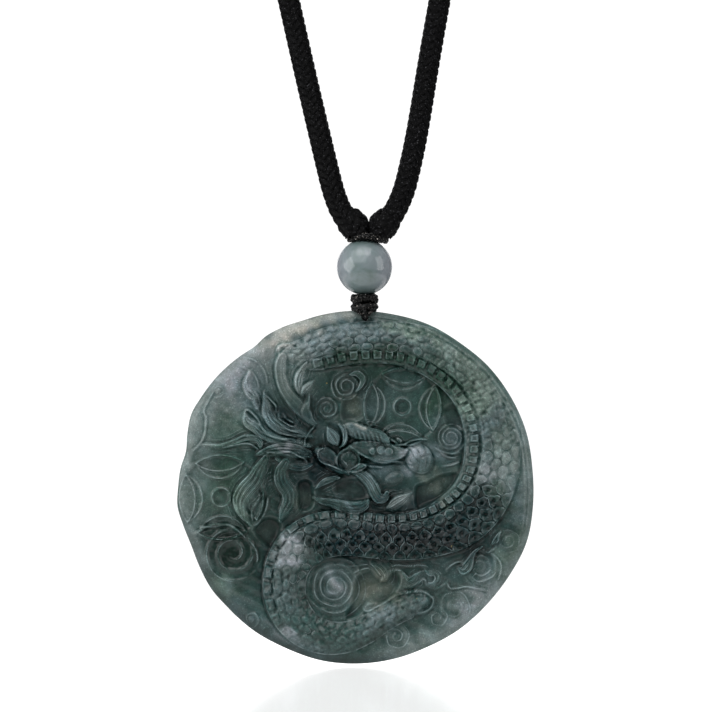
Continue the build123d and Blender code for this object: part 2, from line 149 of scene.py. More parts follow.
# Horns, mane, ear, brow, beard and fringe: centre lines of x, z and half width, shares of the
# plaque's radius, with their rise in millimetres, the ridges across them and the side of the way
# (1 right, -1 left, 0 both) that keeps a thin raised lip.
LOCKS = {
    # name: (rise, ridges, lip side, rows of x, z, half width)
    "mane_mid": (0.9, 2, -1, [
        (-0.87, 0.245, 0.005), (-0.78, 0.235, 0.014), (-0.69, 0.25, 0.024), (-0.62, 0.268, 0.034),
        (-0.56, 0.262, 0.03), (-0.545, 0.225, 0.012)]),
    "mane_far": (0.8, 3, 1, [
        (-0.605, 0.655, 0.008), (-0.618, 0.592, 0.024), (-0.605, 0.544, 0.028), (-0.574, 0.505, 0.026),
        (-0.562, 0.45, 0.012)]),
    "mane_top": (1.1, 4, 1, [
        (-0.522, 0.535, 0.006), (-0.51, 0.48, 0.024), (-0.5, 0.42, 0.034), (-0.465, 0.365, 0.036),
        (-0.4, 0.33, 0.032), (-0.31, 0.305, 0.024), (-0.25, 0.29, 0.012)]),
    "mane_high": (1.2, 4, 1, [
        (-0.632, 0.425, 0.006), (-0.615, 0.375, 0.03), (-0.57, 0.345, 0.036), (-0.51, 0.3, 0.034),
        (-0.43, 0.27, 0.03), (-0.34, 0.255, 0.026), (-0.26, 0.235, 0.014)]),
    "mane_root": (1.2, 5, 0, [
        (-0.56, 0.19, 0.01), (-0.49, 0.205, 0.032), (-0.42, 0.215, 0.04), (-0.34, 0.205, 0.04),
        (-0.27, 0.19, 0.024)]),
    "mane_link": (1.0, 2, 1, [
        (-0.45, 0.165, 0.012), (-0.38, 0.125, 0.022), (-0.31, 0.115, 0.022), (-0.255, 0.13, 0.01)]),
    "mane_low": (1.2, 4, 1, [
        (-0.5, 0.185, 0.016), (-0.545, 0.105, 0.038), (-0.575, 0.04, 0.05), (-0.625, -0.015, 0.052),
        (-0.655, -0.065, 0.046), (-0.655, -0.12, 0.034), (-0.632, -0.17, 0.02), (-0.6, -0.215, 0.006)]),
    "mane_inner": (1.2, 4, 1, [
        (-0.395, 0.145, 0.026), (-0.425, 0.09, 0.038), (-0.418, 0.03, 0.044), (-0.382, -0.025, 0.044),
        (-0.378, -0.08, 0.042), (-0.405, -0.135, 0.034), (-0.43, -0.19, 0.01)]),
    "horn_leaf": (1.1, 4, 1, [
        (-0.28, 0.712, 0.006), (-0.3, 0.672, 0.02), (-0.32, 0.63, 0.028), (-0.325, 0.585, 0.03),
        (-0.318, 0.548, 0.024), (-0.31, 0.525, 0.008)]),
    "horn_lobe": (1.2, 3, 1, [
        (-0.245, 0.602, 0.006), (-0.262, 0.583, 0.018), (-0.288, 0.558, 0.022), (-0.31, 0.532, 0.01)]),
    "long_horn": (1.3, 0, 1, [
        (-0.418, 0.738, 0.028), (-0.428, 0.7, 0.034), (-0.43, 0.655, 0.034), (-0.42, 0.6, 0.034),
        (-0.395, 0.545, 0.037), (-0.345, 0.479, 0.04), (-0.284, 0.408, 0.034), (-0.235, 0.362, 0.016)]),
    "short_horn": (1.35, 0, -1, [
        (-0.266, 0.522, 0.004), (-0.276, 0.483, 0.014), (-0.289, 0.444, 0.027), (-0.281, 0.409, 0.031),
        (-0.259, 0.379, 0.02), (-0.229, 0.362, 0.008)]),
    "cloud_flare": (0.6, 2, 0, [
        (-0.035, 0.64, 0.006), (0.005, 0.645, 0.018), (0.035, 0.615, 0.018), (0.025, 0.575, 0.012),
        (0.0, 0.545, 0.006)]),
    "beard_low": (1.6, 4, 0, [
        (-0.245, -0.055, 0.006), (-0.2, -0.075, 0.018), (-0.13, -0.09, 0.026), (-0.065, -0.108, 0.034),
        (0.0, -0.115, 0.034), (0.045, -0.1, 0.028), (0.068, -0.072, 0.008)]),
    "chin_curl": (1.2, 2, 0, [
        (-0.23, -0.005, 0.006), (-0.185, 0.03, 0.018), (-0.135, 0.05, 0.018), (-0.095, 0.055, 0.006)]),
    "brow": (2.3, 0, 0, [
        (-0.085, 0.345, 0.01), (-0.05, 0.335, 0.034), (0.0, 0.32, 0.043), (0.06, 0.3, 0.042),
        (0.12, 0.29, 0.038), (0.165, 0.268, 0.026), (0.182, 0.242, 0.01)]),
    "muzzle": (2.0, 0, 0, [
        (-0.05, 0.215, 0.02), (0.01, 0.225, 0.04), (0.08, 0.212, 0.052), (0.15, 0.198, 0.054),
        (0.21, 0.195, 0.048), (0.255, 0.2, 0.034), (0.28, 0.21, 0.012)]),
    "skull": (2.2, 0, 0, [
        (-0.215, 0.205, 0.024), (-0.182, 0.186, 0.047), (-0.14, 0.152, 0.046), (-0.09, 0.117, 0.04),
        (-0.045, 0.09, 0.02)]),
    "hook": (1.9, 2, 0, [
        (-0.04, 0.094, 0.01), (0.018, 0.08, 0.026), (0.061, 0.048, 0.032), (0.089, 0.01, 0.034),
        (0.108, -0.028, 0.034), (0.131, -0.06, 0.034), (0.162, -0.056, 0.024), (0.172, -0.028, 0.01)]),
    "eyelid": (2.3, 2, 0, [
        (-0.062, 0.09, 0.005), (-0.022, 0.104, 0.015), (0.02, 0.118, 0.017), (0.056, 0.128, 0.005)]),
    "ear": (2.4, 3, 0, [
        (-0.163, 0.34, 0.005), (-0.147, 0.312, 0.026), (-0.13, 0.285, 0.038), (-0.116, 0.262, 0.03),
        (-0.106, 0.245, 0.01)]),
    "ear_back": (2.2, 1, 0, [
        (-0.098, 0.358, 0.006), (-0.072, 0.325, 0.014), (-0.062, 0.285, 0.016), (-0.07, 0.25, 0.014),
        (-0.092, 0.228, 0.006)]),
    "flame_end": (0.5, 1, 0, [
        (0.818, -0.248, 0.005), (0.801, -0.275, 0.012), (0.788, -0.301, 0.017), (0.771, -0.318, 0.008)]),
    "flame_comma": (0.6, 2, 0, [
        (0.711, -0.335, 0.006), (0.677, -0.358, 0.01), (0.653, -0.389, 0.015), (0.64, -0.422, 0.024),
        (0.623, -0.452, 0.031), (0.603, -0.469, 0.026), (0.583, -0.459, 0.01)]),
    "flame_hook": (0.6, 2, 1, [
        (0.388, -0.469, 0.006), (0.415, -0.486, 0.016), (0.442, -0.482, 0.02), (0.462, -0.5, 0.022),
        (0.458, -0.53, 0.02), (0.435, -0.548, 0.016), (0.408, -0.543, 0.006)]),
    "flame_wave": (0.6, 2, 1, [
        (0.375, -0.476, 0.006), (0.341, -0.496, 0.014), (0.321, -0.52, 0.022), (0.294, -0.53, 0.024),
        (0.278, -0.51, 0.016), (0.267, -0.485, 0.006)]),
    "flame_tip": (0.6, 2, 1, [
        (0.085, -0.432, 0.006), (0.115, -0.446, 0.02), (0.142, -0.47, 0.028), (0.16, -0.506, 0.022),
        (0.14, -0.526, 0.006)]),
    "fang": (1.3, 2, -1, [
        (0.176, -0.116, 0.008), (0.205, -0.105, 0.034), (0.245, -0.08, 0.038), (0.285, -0.05, 0.018),
        (0.308, -0.032, 0.005)]),
}

# The eye, the line of brow curls and the pearl, as shares of the plaque's radius.
EYE = (-0.045, 0.154)
EYE_RADIUS = 0.066
BROW_CURLS = [(-0.030, 0.296), (0.160, 0.262)]
PEARL = (0.354, 0.166)

# Round lumps of the head and the pearl.
LUMPS = [
    # x, z, half length, half width, turn in degrees, rise in millimetres, outlined
    (*PEARL, 0.094, 0.076, -56, 1.0, True),
    (0.094, 0.206, 0.022, 0.020, 0, 0.32, True),
    (0.141, 0.212, 0.026, 0.024, 0, 0.36, True),
    (0.183, 0.204, 0.024, 0.022, 0, 0.32, True),
    (0.238, 0.258, 0.024, 0.020, -50, 0.35, True),
    (0.215, 0.052, 0.056, 0.036, 25, 0.45, False),
]

# Thin raised lines on the head, on the field and on the mane.
FACE_LINES = [
    # half width and rise in millimetres, rows of x, z
    (0.16, 0.30, [
        (-0.055, 0.246), (-0.015, 0.222), (0.028, 0.189), (0.07, 0.166), (0.113, 0.147), (0.16, 0.14),
        (0.207, 0.147), (0.268, 0.144)]),
    (0.14, 0.20, [(0.018, 0.152), (0.066, 0.123), (0.113, 0.118), (0.16, 0.112)]),
    (0.16, 0.22, [(-0.2, 0.15), (-0.14, 0.122), (-0.085, 0.092), (-0.06, 0.084)]),
    (0.15, 0.25, [(0.272, 0.214), (0.24, 0.235), (0.212, 0.262), (0.18, 0.285)]),
]
FIELD_LINES = [
    # half width and rise in millimetres, rows of x, z
    (0.18, 0.30, [
        (0.03, -0.667), (0.06, -0.7), (0.158, -0.652), (0.23, -0.61), (0.333, -0.59), (0.4, -0.6),
        (0.436, -0.64), (0.405, -0.695), (0.31, -0.722)]),
    (0.15, 0.22, [
        (0.247, -0.561), (0.308, -0.561), (0.349, -0.541), (0.384, -0.52), (0.404, -0.556),
        (0.45, -0.571), (0.491, -0.556), (0.511, -0.541), (0.531, -0.571), (0.572, -0.571),
        (0.622, -0.561), (0.678, -0.571), (0.754, -0.586)]),
    (0.14, 0.18, [(0.755, -0.36), (0.81, -0.415), (0.82, -0.47), (0.795, -0.541)]),
    (0.14, 0.20, [(0.43, 0.236), (0.48, 0.205), (0.54, 0.19), (0.6, 0.205)]),
    (0.14, 0.20, [(0.465, 0.205), (0.52, 0.172), (0.58, 0.168)]),
    (0.14, 0.18, [(0.475, 0.12), (0.53, 0.125), (0.6, 0.148)]),
    (0.15, 0.22, [(-0.592, 0.02), (-0.545, -0.05), (-0.592, -0.13), (-0.585, -0.215)]),
    (0.15, 0.22, [(-0.5, -0.04), (-0.51, -0.115), (-0.545, -0.19), (-0.595, -0.228)]),
    (0.16, 0.25, [(-0.925, -0.27), (-0.835, -0.215), (-0.76, -0.212), (-0.69, -0.235), (-0.64, -0.29)]),
    (0.16, 0.25, [(-0.905, -0.225), (-0.8, -0.222), (-0.72, -0.212), (-0.65, -0.262), (-0.622, -0.3)]),
    (0.14, 0.22, [
        (-0.8, 0.56), (-0.861, 0.444), (-0.851, 0.391), (-0.861, 0.293), (-0.89, 0.241),
        (-0.936, 0.196)]),
    (0.13, 0.16, [(-0.7, 0.7), (-0.64, 0.68), (-0.59, 0.65), (-0.56, 0.6), (-0.555, 0.545)]),
    (0.13, 0.16, [(-0.68, 0.74), (-0.6, 0.73), (-0.54, 0.69), (-0.51, 0.63), (-0.505, 0.575)]),
    (0.14, 0.20, [(-0.62, -0.29), (-0.575, -0.34), (-0.56, -0.4), (-0.572, -0.44)]),
    (0.14, 0.20, [(0.502, -0.489), (0.516, -0.459), (0.543, -0.436), (0.576, -0.422), (0.61, -0.425)]),
    (0.14, 0.20, [(0.711, -0.362), (0.744, -0.369), (0.784, -0.342), (0.798, -0.308)]),
    (0.13, 0.18, [(-0.057, -0.451), (-0.002, -0.444), (0.053, -0.437), (0.085, -0.442)]),
    (0.13, 0.18, [(-0.03, -0.492), (0.012, -0.471), (0.06, -0.458), (0.094, -0.465)]),
    (0.13, 0.18, [(0.18, -0.455), (0.23, -0.44), (0.3, -0.445), (0.36, -0.44), (0.42, -0.452)]),
    (0.13, 0.16, [(0.17, -0.48), (0.215, -0.468), (0.255, -0.474), (0.262, -0.5)]),
]
LOCK_LINES = [
    # half width and rise in millimetres, rows of x, z
    (0.13, 0.20, [(-0.526, 0.535), (-0.486, 0.496), (-0.454, 0.456), (-0.46, 0.411)]),
    (0.13, 0.20, [(-0.61, 0.645), (-0.623, 0.58), (-0.584, 0.522), (-0.568, 0.463)]),
    (0.13, 0.20, [(-0.584, 0.554), (-0.552, 0.502), (-0.545, 0.45)]),
    (0.14, 0.24, [
        (-0.636, 0.43), (-0.61, 0.437), (-0.558, 0.385), (-0.526, 0.326), (-0.486, 0.294),
        (-0.415, 0.274), (-0.356, 0.274), (-0.343, 0.242)]),
    (0.13, 0.20, [(-0.447, 0.391), (-0.428, 0.359), (-0.376, 0.326), (-0.31, 0.313)]),
    (0.13, 0.22, [(-0.519, 0.404), (-0.5, 0.359), (-0.447, 0.313), (-0.376, 0.294), (-0.324, 0.281)]),
    (0.13, 0.20, [(-0.767, 0.222), (-0.675, 0.242), (-0.61, 0.248), (-0.565, 0.222), (-0.545, 0.196)]),
    (0.14, 0.24, [
        (-0.526, 0.202), (-0.441, 0.196), (-0.376, 0.202), (-0.324, 0.176), (-0.285, 0.157),
        (-0.271, 0.124)]),
    (0.13, 0.22, [(-0.226, 0.359), (-0.265, 0.313), (-0.291, 0.268), (-0.285, 0.222)]),
    (0.13, 0.22, [(-0.442, 0.44), (-0.437, 0.392), (-0.416, 0.375), (-0.372, 0.348), (-0.333, 0.342)]),
    (0.13, 0.18, [(-0.416, 0.422), (-0.398, 0.392), (-0.363, 0.37), (-0.337, 0.362)]),
    (0.14, 0.24, [
        (-0.17, 0.228), (-0.211, 0.213), (-0.218, 0.173), (-0.195, 0.142), (-0.15, 0.127),
        (-0.089, 0.102), (-0.059, 0.089)]),
    (0.13, 0.22, [
        (-0.053, 0.092), (-0.008, 0.117), (0.022, 0.135), (0.053, 0.122), (0.033, 0.102), (-0.008, 0.089),
        (-0.048, 0.089)]),
    (0.13, 0.20, [(0.205, 0.243), (0.266, 0.243), (0.316, 0.264), (0.367, 0.274), (0.418, 0.269)]),
    (0.13, 0.20, [(-0.086, 0.372), (-0.062, 0.335), (-0.054, 0.29), (-0.066, 0.25), (-0.09, 0.226)]),
]

# Cloud scrolls and bosses.
SCROLLS = [
    # x, z, radius, turns, start in degrees, hand, rise in millimetres, boss rise, wave
    (-0.058, 0.573, 0.088, 3.2, 200, 1, 0.26, 0.05, 0.05),
    (-0.166, 0.446, 0.070, 2.6, 20, -1, 0.26, 0.10, 0.04),
    (0.536, 0.282, 0.092, 4.0, 200, 1, 0.20, 0.05, 0.03),
    (-0.700, -0.370, 0.165, 2.6, 60, -1, 0.26, -0.15, 0.0),
    (-0.123, -0.563, 0.185, 5.0, 250, 1, 0.22, 0.50, 0.07),
    (0.703, -0.450, 0.110, 3.4, 90, -1, 0.18, 0.10, 0.10),
    (0.551, -0.672, 0.105, 2.4, 30, 1, 0.14, 0.10, 0.08),
    (0.460, -0.738, 0.066, 1.8, 200, -1, 0.14, 0.10, 0.06),
    (-0.597, -0.746, 0.060, 1.8, 100, 1, 0.18, 0.20, 0.05),
    (0.860, -0.300, 0.070, 2.2, 0, 1, 0.14, 0.10, 0.06),
    (-0.786, 0.548, 0.050, 1.6, 0, 1, 0.10, 0.05, 0.0),
    (0.225, -0.845, 0.080, 2.0, 60, -1, 0.16, 0.15, 0.05),
]

# Round coins with four petals, and the rise, corners, lines and eye of all of them. The petal
# corner is a share of the coin's radius and an angle, the lines and the eye are shares too.
COINS = [
    # x, z, radius, turn in degrees
    (0.261, 0.456, 0.222, -3),
    (-0.766, -0.056, 0.242, 2),
]
COIN_RISE = 0.28
PETAL_CORNER = (0.955, 35)
PETAL_LINES = (0.43, 0.60)
COIN_EYE = 0.215

# Flats cut below the field and left matt.
FLATS = [
    # depth in millimetres, corners
    (0.8, [
        (0.339, -0.002), (0.399, 0.024), (0.465, 0.059), (0.562, 0.074), (0.531, -0.012), (0.475, -0.057),
        (0.389, -0.098), (0.344, -0.108)]),
    (0.8, [
        (0.009, -0.511), (0.075, -0.478), (0.117, -0.516), (0.16, -0.53), (0.221, -0.487), (0.24, -0.539),
        (0.174, -0.638), (0.065, -0.647), (0.028, -0.694), (-0.005, -0.727), (-0.057, -0.732),
        (-0.015, -0.638)]),
    (0.8, [(-0.325, 0.02), (-0.26, 0.02), (-0.255, -0.1), (-0.32, -0.117)]),
    (0.8, [(-0.578, -0.242), (-0.498, -0.176), (-0.432, -0.219), (-0.474, -0.318), (-0.5, -0.327)]),
    (0.6, [(-0.065, 0.49), (0.022, 0.49), (0.025, 0.4), (-0.07, 0.385)]),
    (0.5, [(0.5, 0.44), (0.57, 0.47), (0.6, 0.4), (0.585, 0.34), (0.52, 0.36)]),
    (0.45, [(-0.125, 0.0), (-0.06, 0.04), (0.03, 0.03), (0.06, -0.02), (0.04, -0.065), (-0.07, -0.07)]),
]

# Values kept at the plaque's points for its material. The two in RELIEF tell how far a place lies
# below or above its surroundings. The material darkens the places below with painted shade and lightens
# those above with painted highlight, in part their wear.
KEPT = ("stone", "hollow", "wear_and_highlight", "matt", "strand", "arris", "stranded")
RELIEF = {
    # name: (cells of surroundings, millimetres from the lowest to the highest value)
    "hollow": (5, 1.55),
    "wear_and_highlight": (2, 0.34),
}
# What the plain back has of them.
PLAIN = {"hollow": 0.5, "wear_and_highlight": 0.5, "strand": 0.0, "arris": NO_ARRIS, "matt": 0.0}

# Clouds in the stone, from the rim inwards.
CLOUDS = [
    # x, z, half length, half width, turn in degrees, colour name, strength
    (-0.40, 0.86, 0.30, 0.085, 25, "beige", 1.0),
    (-0.54, 0.79, 0.12, 0.06, 35, "beige", 0.45),
    (-0.12, 0.97, 0.26, 0.04, 7, "beige", 0.30),
    (-0.68, 0.64, 0.25, 0.13, 48, "lilac", 1.0),
    (-0.83, 0.44, 0.10, 0.16, -28, "pale", 1.0),
    (-0.89, 0.27, 0.09, 0.18, 6, "pale", 0.7),
    (-0.92, -0.02, 0.09, 0.22, 0, "pale", 0.8),
    (-0.92, -0.32, 0.09, 0.15, -10, "pale", 1.0),
    (-0.80, -0.56, 0.08, 0.10, -50, "fern", 0.7),
    (0.33, 0.90, 0.20, 0.05, -18, "fern", 0.9),
    (0.72, 0.62, 0.32, 0.11, -45, "fern", 1.0),
    (0.70, 0.60, 0.28, 0.08, -45, "pale", 0.55),
    (0.74, 0.34, 0.10, 0.16, 0, "mist", 0.5),
    (0.97, 0.28, 0.11, 0.42, 0, "pale", 1.0),
    (0.86, 0.12, 0.06, 0.20, 0, "fern", 0.5),
    (0.78, -0.50, 0.16, 0.10, 52, "mist", 0.58),
    (0.62, -0.72, 0.28, 0.13, 42, "pale", 0.58),
    (0.68, -0.66, 0.22, 0.065, 46, "lilac", 0.45),
    (-0.40, -0.86, 0.08, 0.035, -28, "lilac", 0.5),
    (0.88, -0.36, 0.16, 0.06, 68, "fern", 0.7),
    (0.30, -0.90, 0.18, 0.07, 14, "pale", 0.9),
    (-0.30, -0.90, 0.18, 0.05, -16, "mist", 0.4),
    (-0.62, -0.72, 0.20, 0.05, -46, "mist", 0.5),
    (-0.05, 0.05, 0.55, 0.40, 0, "teal", 0.22),
    (-0.66, 0.40, 0.07, 0.14, -12, "fern", 0.38),
    (-0.75, 0.32, 0.10, 0.10, 0, "fern", 0.30),
    (-0.72, 0.08, 0.15, 0.12, 0, "moss", 0.65),
    (-0.68, -0.16, 0.17, 0.10, 0, "umber", 0.15),
    (-0.72, -0.08, 0.16, 0.14, 0, "fern", 0.38),
    (-0.70, -0.37, 0.17, 0.15, 0, "deep", 1.0),
    (-0.50, -0.24, 0.09, 0.12, 0, "umber", 0.9),
    (-0.49, -0.06, 0.09, 0.10, 0, "umber", 0.35),
    (-0.36, 0.67, 0.14, 0.16, 10, "pale", 0.85),
    (-0.52, 0.68, 0.12, 0.10, 40, "pale", 0.70),
    (-0.58, 0.50, 0.12, 0.16, 20, "mist", 0.6),
    (-0.12, 0.30, 0.10, 0.08, 0, "mist", 0.30),
    (-0.60, 0.00, 0.09, 0.16, 10, "mist", 0.12),
    (-0.40, 0.36, 0.20, 0.10, -30, "mist", 0.3),
    (-0.12, 0.86, 0.24, 0.07, 12, "mist", 0.8),
    (0.18, 0.86, 0.20, 0.06, -8, "mist", 0.45),
    (0.12, 0.72, 0.34, 0.055, 0, "moss", 0.70),
    (0.10, 0.50, 0.12, 0.10, 0, "mist", 0.35),
    (0.52, 0.28, 0.10, 0.08, 0, "mist", 0.4),
    (0.10, 0.08, 0.10, 0.06, 0, "mist", 0.4),
    (0.48, 0.50, 0.10, 0.16, -20, "moss", 0.8),
    (0.66, 0.50, 0.10, 0.10, 0, "fern", 0.7),
    (0.79, 0.10, 0.15, 0.12, 0, "pale", 0.60),
    (0.75, 0.08, 0.10, 0.08, 0, "lilac", 0.35),
    (0.90, -0.08, 0.06, 0.14, 0, "mist", 0.5),
    (0.52, 0.28, 0.11, 0.09, 0, "mist", 0.5),
    (0.25, 0.46, 0.17, 0.17, 0, "fern", 0.08),
    (0.350, 0.175, 0.075, 0.050, 35, "lilac", 0.75),
    (0.360, 0.150, 0.095, 0.080, 0, "mist", 0.50),
    (-0.402, 0.232, 0.040, 0.028, 0, "lilac", 0.55),
    (-0.40, 0.40, 0.075, 0.045, -42, "teal", 0.75),
    (0.28, -0.28, 0.55, 0.13, -2, "teal", 1.0),
    (0.26, -0.31, 0.42, 0.09, -2, "night", 0.55),
    (0.66, -0.14, 0.20, 0.12, 35, "teal", 0.8),
    (0.26, -0.09, 0.26, 0.08, 0, "teal", 0.8),
    (-0.08, -0.30, 0.18, 0.09, 0, "teal", 0.8),
    (-0.16, 0.09, 0.15, 0.10, 0, "teal", 0.95),
    (-0.30, 0.14, 0.12, 0.16, 0, "teal", 0.6),
    (-0.28, 0.40, 0.08, 0.14, -30, "teal", 0.5),
    (0.02, 0.30, 0.18, 0.07, -12, "mist", 0.20),
    (0.16, 0.12, 0.12, 0.05, 0, "mist", 0.5),
    (0.25, -0.07, 0.06, 0.035, 35, "pale", 0.55),
    (-0.08, -0.10, 0.10, 0.03, -8, "mist", 0.45),
    (-0.37, -0.36, 0.09, 0.06, 55, "lilac", 0.75),
    (-0.41, -0.58, 0.08, 0.16, 0, "mist", 0.35),
    (-0.09, -0.55, 0.14, 0.12, 0, "mist", 0.5),
    (-0.123, -0.563, 0.05, 0.05, 0, "lilac", 0.6),
    (-0.50, -0.46, 0.05, 0.20, 0, "teal", 0.5),
    (0.81, -0.02, 0.07, 0.12, 0, "moss", 0.5),
    (0.14, -0.76, 0.14, 0.07, 20, "mist", 0.6),
    (0.32, -0.68, 0.12, 0.07, 20, "mist", 0.4),
    (0.45, -0.50, 0.16, 0.06, 10, "mist", 0.3),
    (0.46, 0.0, 0.09, 0.07, 30, "brown", 0.65),
    (0.10, -0.59, 0.13, 0.11, 0, "brown", 1.0),
    (-0.29, -0.05, 0.05, 0.07, 0, "brown", 0.45),
    (-0.03, 0.44, 0.06, 0.06, 0, "brown", 0.9),
    (0.00, 0.57, 0.10, 0.08, 0, "umber", 0.3),
    (-0.16, 0.17, 0.08, 0.05, -38, "slate", 0.5),
    (-0.02, 0.355, 0.07, 0.020, -8, "beige", 0.28),
]
# Stone colours as sRGB.
STONE = {
    "ground": "#304642",
    "teal": "#082024",
    "night": "#01080a",
    "moss": "#304739",
    "deep": "#0f241d",
    "umber": "#252e27",
    "slate": "#262c2e",
    "fern": "#728075",
    "mist": "#6b767a",
    "pale": "#7a817f",
    "lilac": "#aaa6ac",
    "beige": "#cbbdb3",
    "brown": "#65675e",
    "back": "#4a5f5a",
}

# Route of the neck cord from the collar round the nape and back, from the bead's centre, in
# millimetres. They are the control points of a smooth curve.
ROUTE = [
    (-0.95, 0.0, 4.60),
    (-1.0, 0.0, 5.1),
    (-1.5, 0.0, 6.1),
    (-3.2, 0.05, 7.5),
    (-4.3, 0.2, 10.3),
    (-4.9, 0.5, 12.5),
    (-6.5, 1.4, 19.2),
    (-9.3, 3.2, 31.2),
    (-14.2, 6.9, 53.5),
    (-24.3, 15.5, 96.0),
    (-36.5, 30.0, 150.0),
    (-48.5, 50.0, 200.0),
    (-56.5, 70.0, 232.0),
    (-54.5, 92.0, 257.0),
    (-39.0, 109.0, 275.0),
    (-14.0, 117.5, 284.0),
    (14.0, 117.5, 284.0),
    (39.0, 109.0, 275.0),
    (54.5, 92.0, 257.0),
    (56.5, 70.0, 232.0),
    (48.5, 50.0, 200.0),
    (36.0, 30.0, 150.0),
    (23.4, 15.5, 96.0),
    (13.6, 6.9, 53.5),
    (9.5, 3.2, 31.2),
    (7.6, 1.4, 19.2),
    (6.1, 0.5, 12.4),
    (5.45, 0.2, 10.3),
    (4.2, 0.05, 7.6),
    (2.7, 0.0, 6.1),
    (2.15, 0.0, 5.1),
    (2.1, 0.0, 4.60),
]

# The thread through the plaque's hole is thinner than that of the wraps. HOLE_FILL is the radius
# of the thread hidden in the hole, and PLY_STEP the distance between the rings of a ply.
LOOP_THREAD = 0.60 * MM
HOLE_FILL = 0.46 * MM
PLY_STEP = 0.13 * MM

LAMPS = [
    # name, degrees right of the front, degrees up, roll, distance, width, height, watts
    ("backdrop_panel", 180, 8, 0, 0.80, 0.90, 0.40, 1.30),
    ("key_upper_left", -32, 46, 0, 0.90, 1.20, 0.90, 4.5),
    ("softbox_left", -71, 9, 45, 0.60, 0.48, 0.48, 2.0),
    ("fill_right", 70, 14, 0, 0.70, 0.40, 0.60, 1.5),
    ("top_front", -5, 70, 0, 0.70, 0.60, 0.50, 2.0),
]

# The Mix node by its sockets: how much, from and to which colour, and its colour output.
AMOUNT, FROM, WITH, MIXED = 0, 6, 7, 2
BLEND = {"data_type": "RGBA"}
TINT = {"data_type": "RGBA", "blend_type": "MULTIPLY"}


def linear(hexadecimal):
    """An sRGB hex colour as linear light."""
    found = []
    for start in (1, 3, 5):
        value = int(hexadecimal[start:start + 2], 16) / 255
        found.append(value / 12.92 if value <= 0.04045 else ((value + 0.055) / 1.055) ** 2.4)
    return found


def alone():
    """Leaves edit mode with nothing selected."""
    if bpy.context.object and bpy.context.object.mode != "OBJECT":
        bpy.ops.object.mode_set(mode="OBJECT")
    bpy.ops.object.select_all(action="DESELECT")


def active(piece):
    """Selects one piece alone and makes it the active one."""
    alone()
    piece.select_set(True)
    bpy.context.view_layer.objects.active = piece
    return piece


def finish_piece(piece, name, material, slot, *nodes):
    """Names a piece, gives it its material, attaches it to the body and hides the CAD nodes it stands for."""
    piece.name = name
    piece.data.name = name
    piece.data.materials.clear()
    piece.data.materials.append(material)
    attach(piece, BODY)
    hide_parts(*nodes)
    alone()
    return piece


def bored(piece, name, bit):
    """Cuts a drill bit out of a piece and takes the bit away."""
    active(piece)
    cut = piece.modifiers.new(name, "BOOLEAN")
    cut.operation = "DIFFERENCE"
    cut.object = bit
    cut.solver = "EXACT"
    bpy.ops.object.modifier_apply(modifier=cut.name)
    bpy.data.objects.remove(bit)


def points_of(piece):
    """The places of a piece's points, a row for each."""
    found = np.empty(len(piece.data.vertices) * 3)
    piece.data.vertices.foreach_get("co", found)
    return found.reshape(-1, 3)


def move_points(piece, points):
    """Moves a piece's points to new places."""
    piece.data.vertices.foreach_set("co", np.ascontiguousarray(points).ravel())
    piece.data.update()


def keep_values(piece, name, values, kind="FLOAT"):
    """Keeps a value or colour for each point of a piece, for its material."""
    attribute = piece.data.attributes.get(name) or piece.data.attributes.new(name, kind, "POINT")
    attribute.data.foreach_set("value" if kind == "FLOAT" else "color", np.ascontiguousarray(values).ravel())


def smooth_step(low, high, value):
    """A smooth way from 0 at low to 1 at high; it runs down where low is the larger."""
    share = np.clip((value - low) / (high - low), 0, 1)
    return share * share * (3 - 2 * share)


def smooth_rows(rows, steps, closed=False):
    """More rows between the given ones, on a curve through them."""
    rows = np.array(rows, float)
    if closed:
        ends = np.vstack([rows[-1:], rows, rows[:2]])
    else:
        ends = np.vstack([rows[:1], rows, rows[-1:]])
    share = (np.arange(steps) / steps)[:, None]
    found = []
    for p, q, r, s in zip(ends, ends[1:], ends[2:], ends[3:]):
        found.append(0.5 * (2 * q + (r - p) * share + (2 * p - 5 * q + 4 * r - s) * share**2
                            + (3 * q - p - 3 * r + s) * share**3))
    found = np.vstack(found)
    return found if closed else np.vstack([found, rows[-1:]])


def ridge(away, width):
    """A rounded ridge that is 1 high where away is 0."""
    return np.exp(-(away / width) ** 2)


def crest(phase, sharp):
    """A row of thin rounded ridges from 0 to 1, one at each whole phase."""
    return (0.5 + 0.5 * np.cos(2 * pi * phase)) ** sharp


def turned(dx, dz, degrees):
    """Offsets to the right and up, as seen from axes turned by so many degrees."""
    turn = radians(degrees)
    return dx * cos(turn) + dz * sin(turn), dz * cos(turn) - dx * sin(turn)


def outline_share(angle):
    """The outline's share of the plaque's radius at angles in radians."""
    rows = np.array(OUTLINE, float)
    whole = np.vstack([rows - (360, 0), rows, rows + (360, 0)])
    line = smooth_rows(whole, 6)
    return np.interp(np.degrees(angle), line[:, 0], line[:, 1])


def ripple(x, z, size, seed):
    """A soft uneven wave between about -1 and 1, with waves about as long as size."""
    dice = np.random.default_rng(seed)
    total = np.zeros_like(x)
    for turn, phase, stretch in zip(dice.uniform(0, 2 * pi, 9), dice.uniform(0, 2 * pi, 9),
                                    dice.uniform(0.7, 1.6, 9)):
        total += np.sin(2 * pi * stretch * (x * np.cos(turn) + z * np.sin(turn)) / size + phase)
    return total / 4


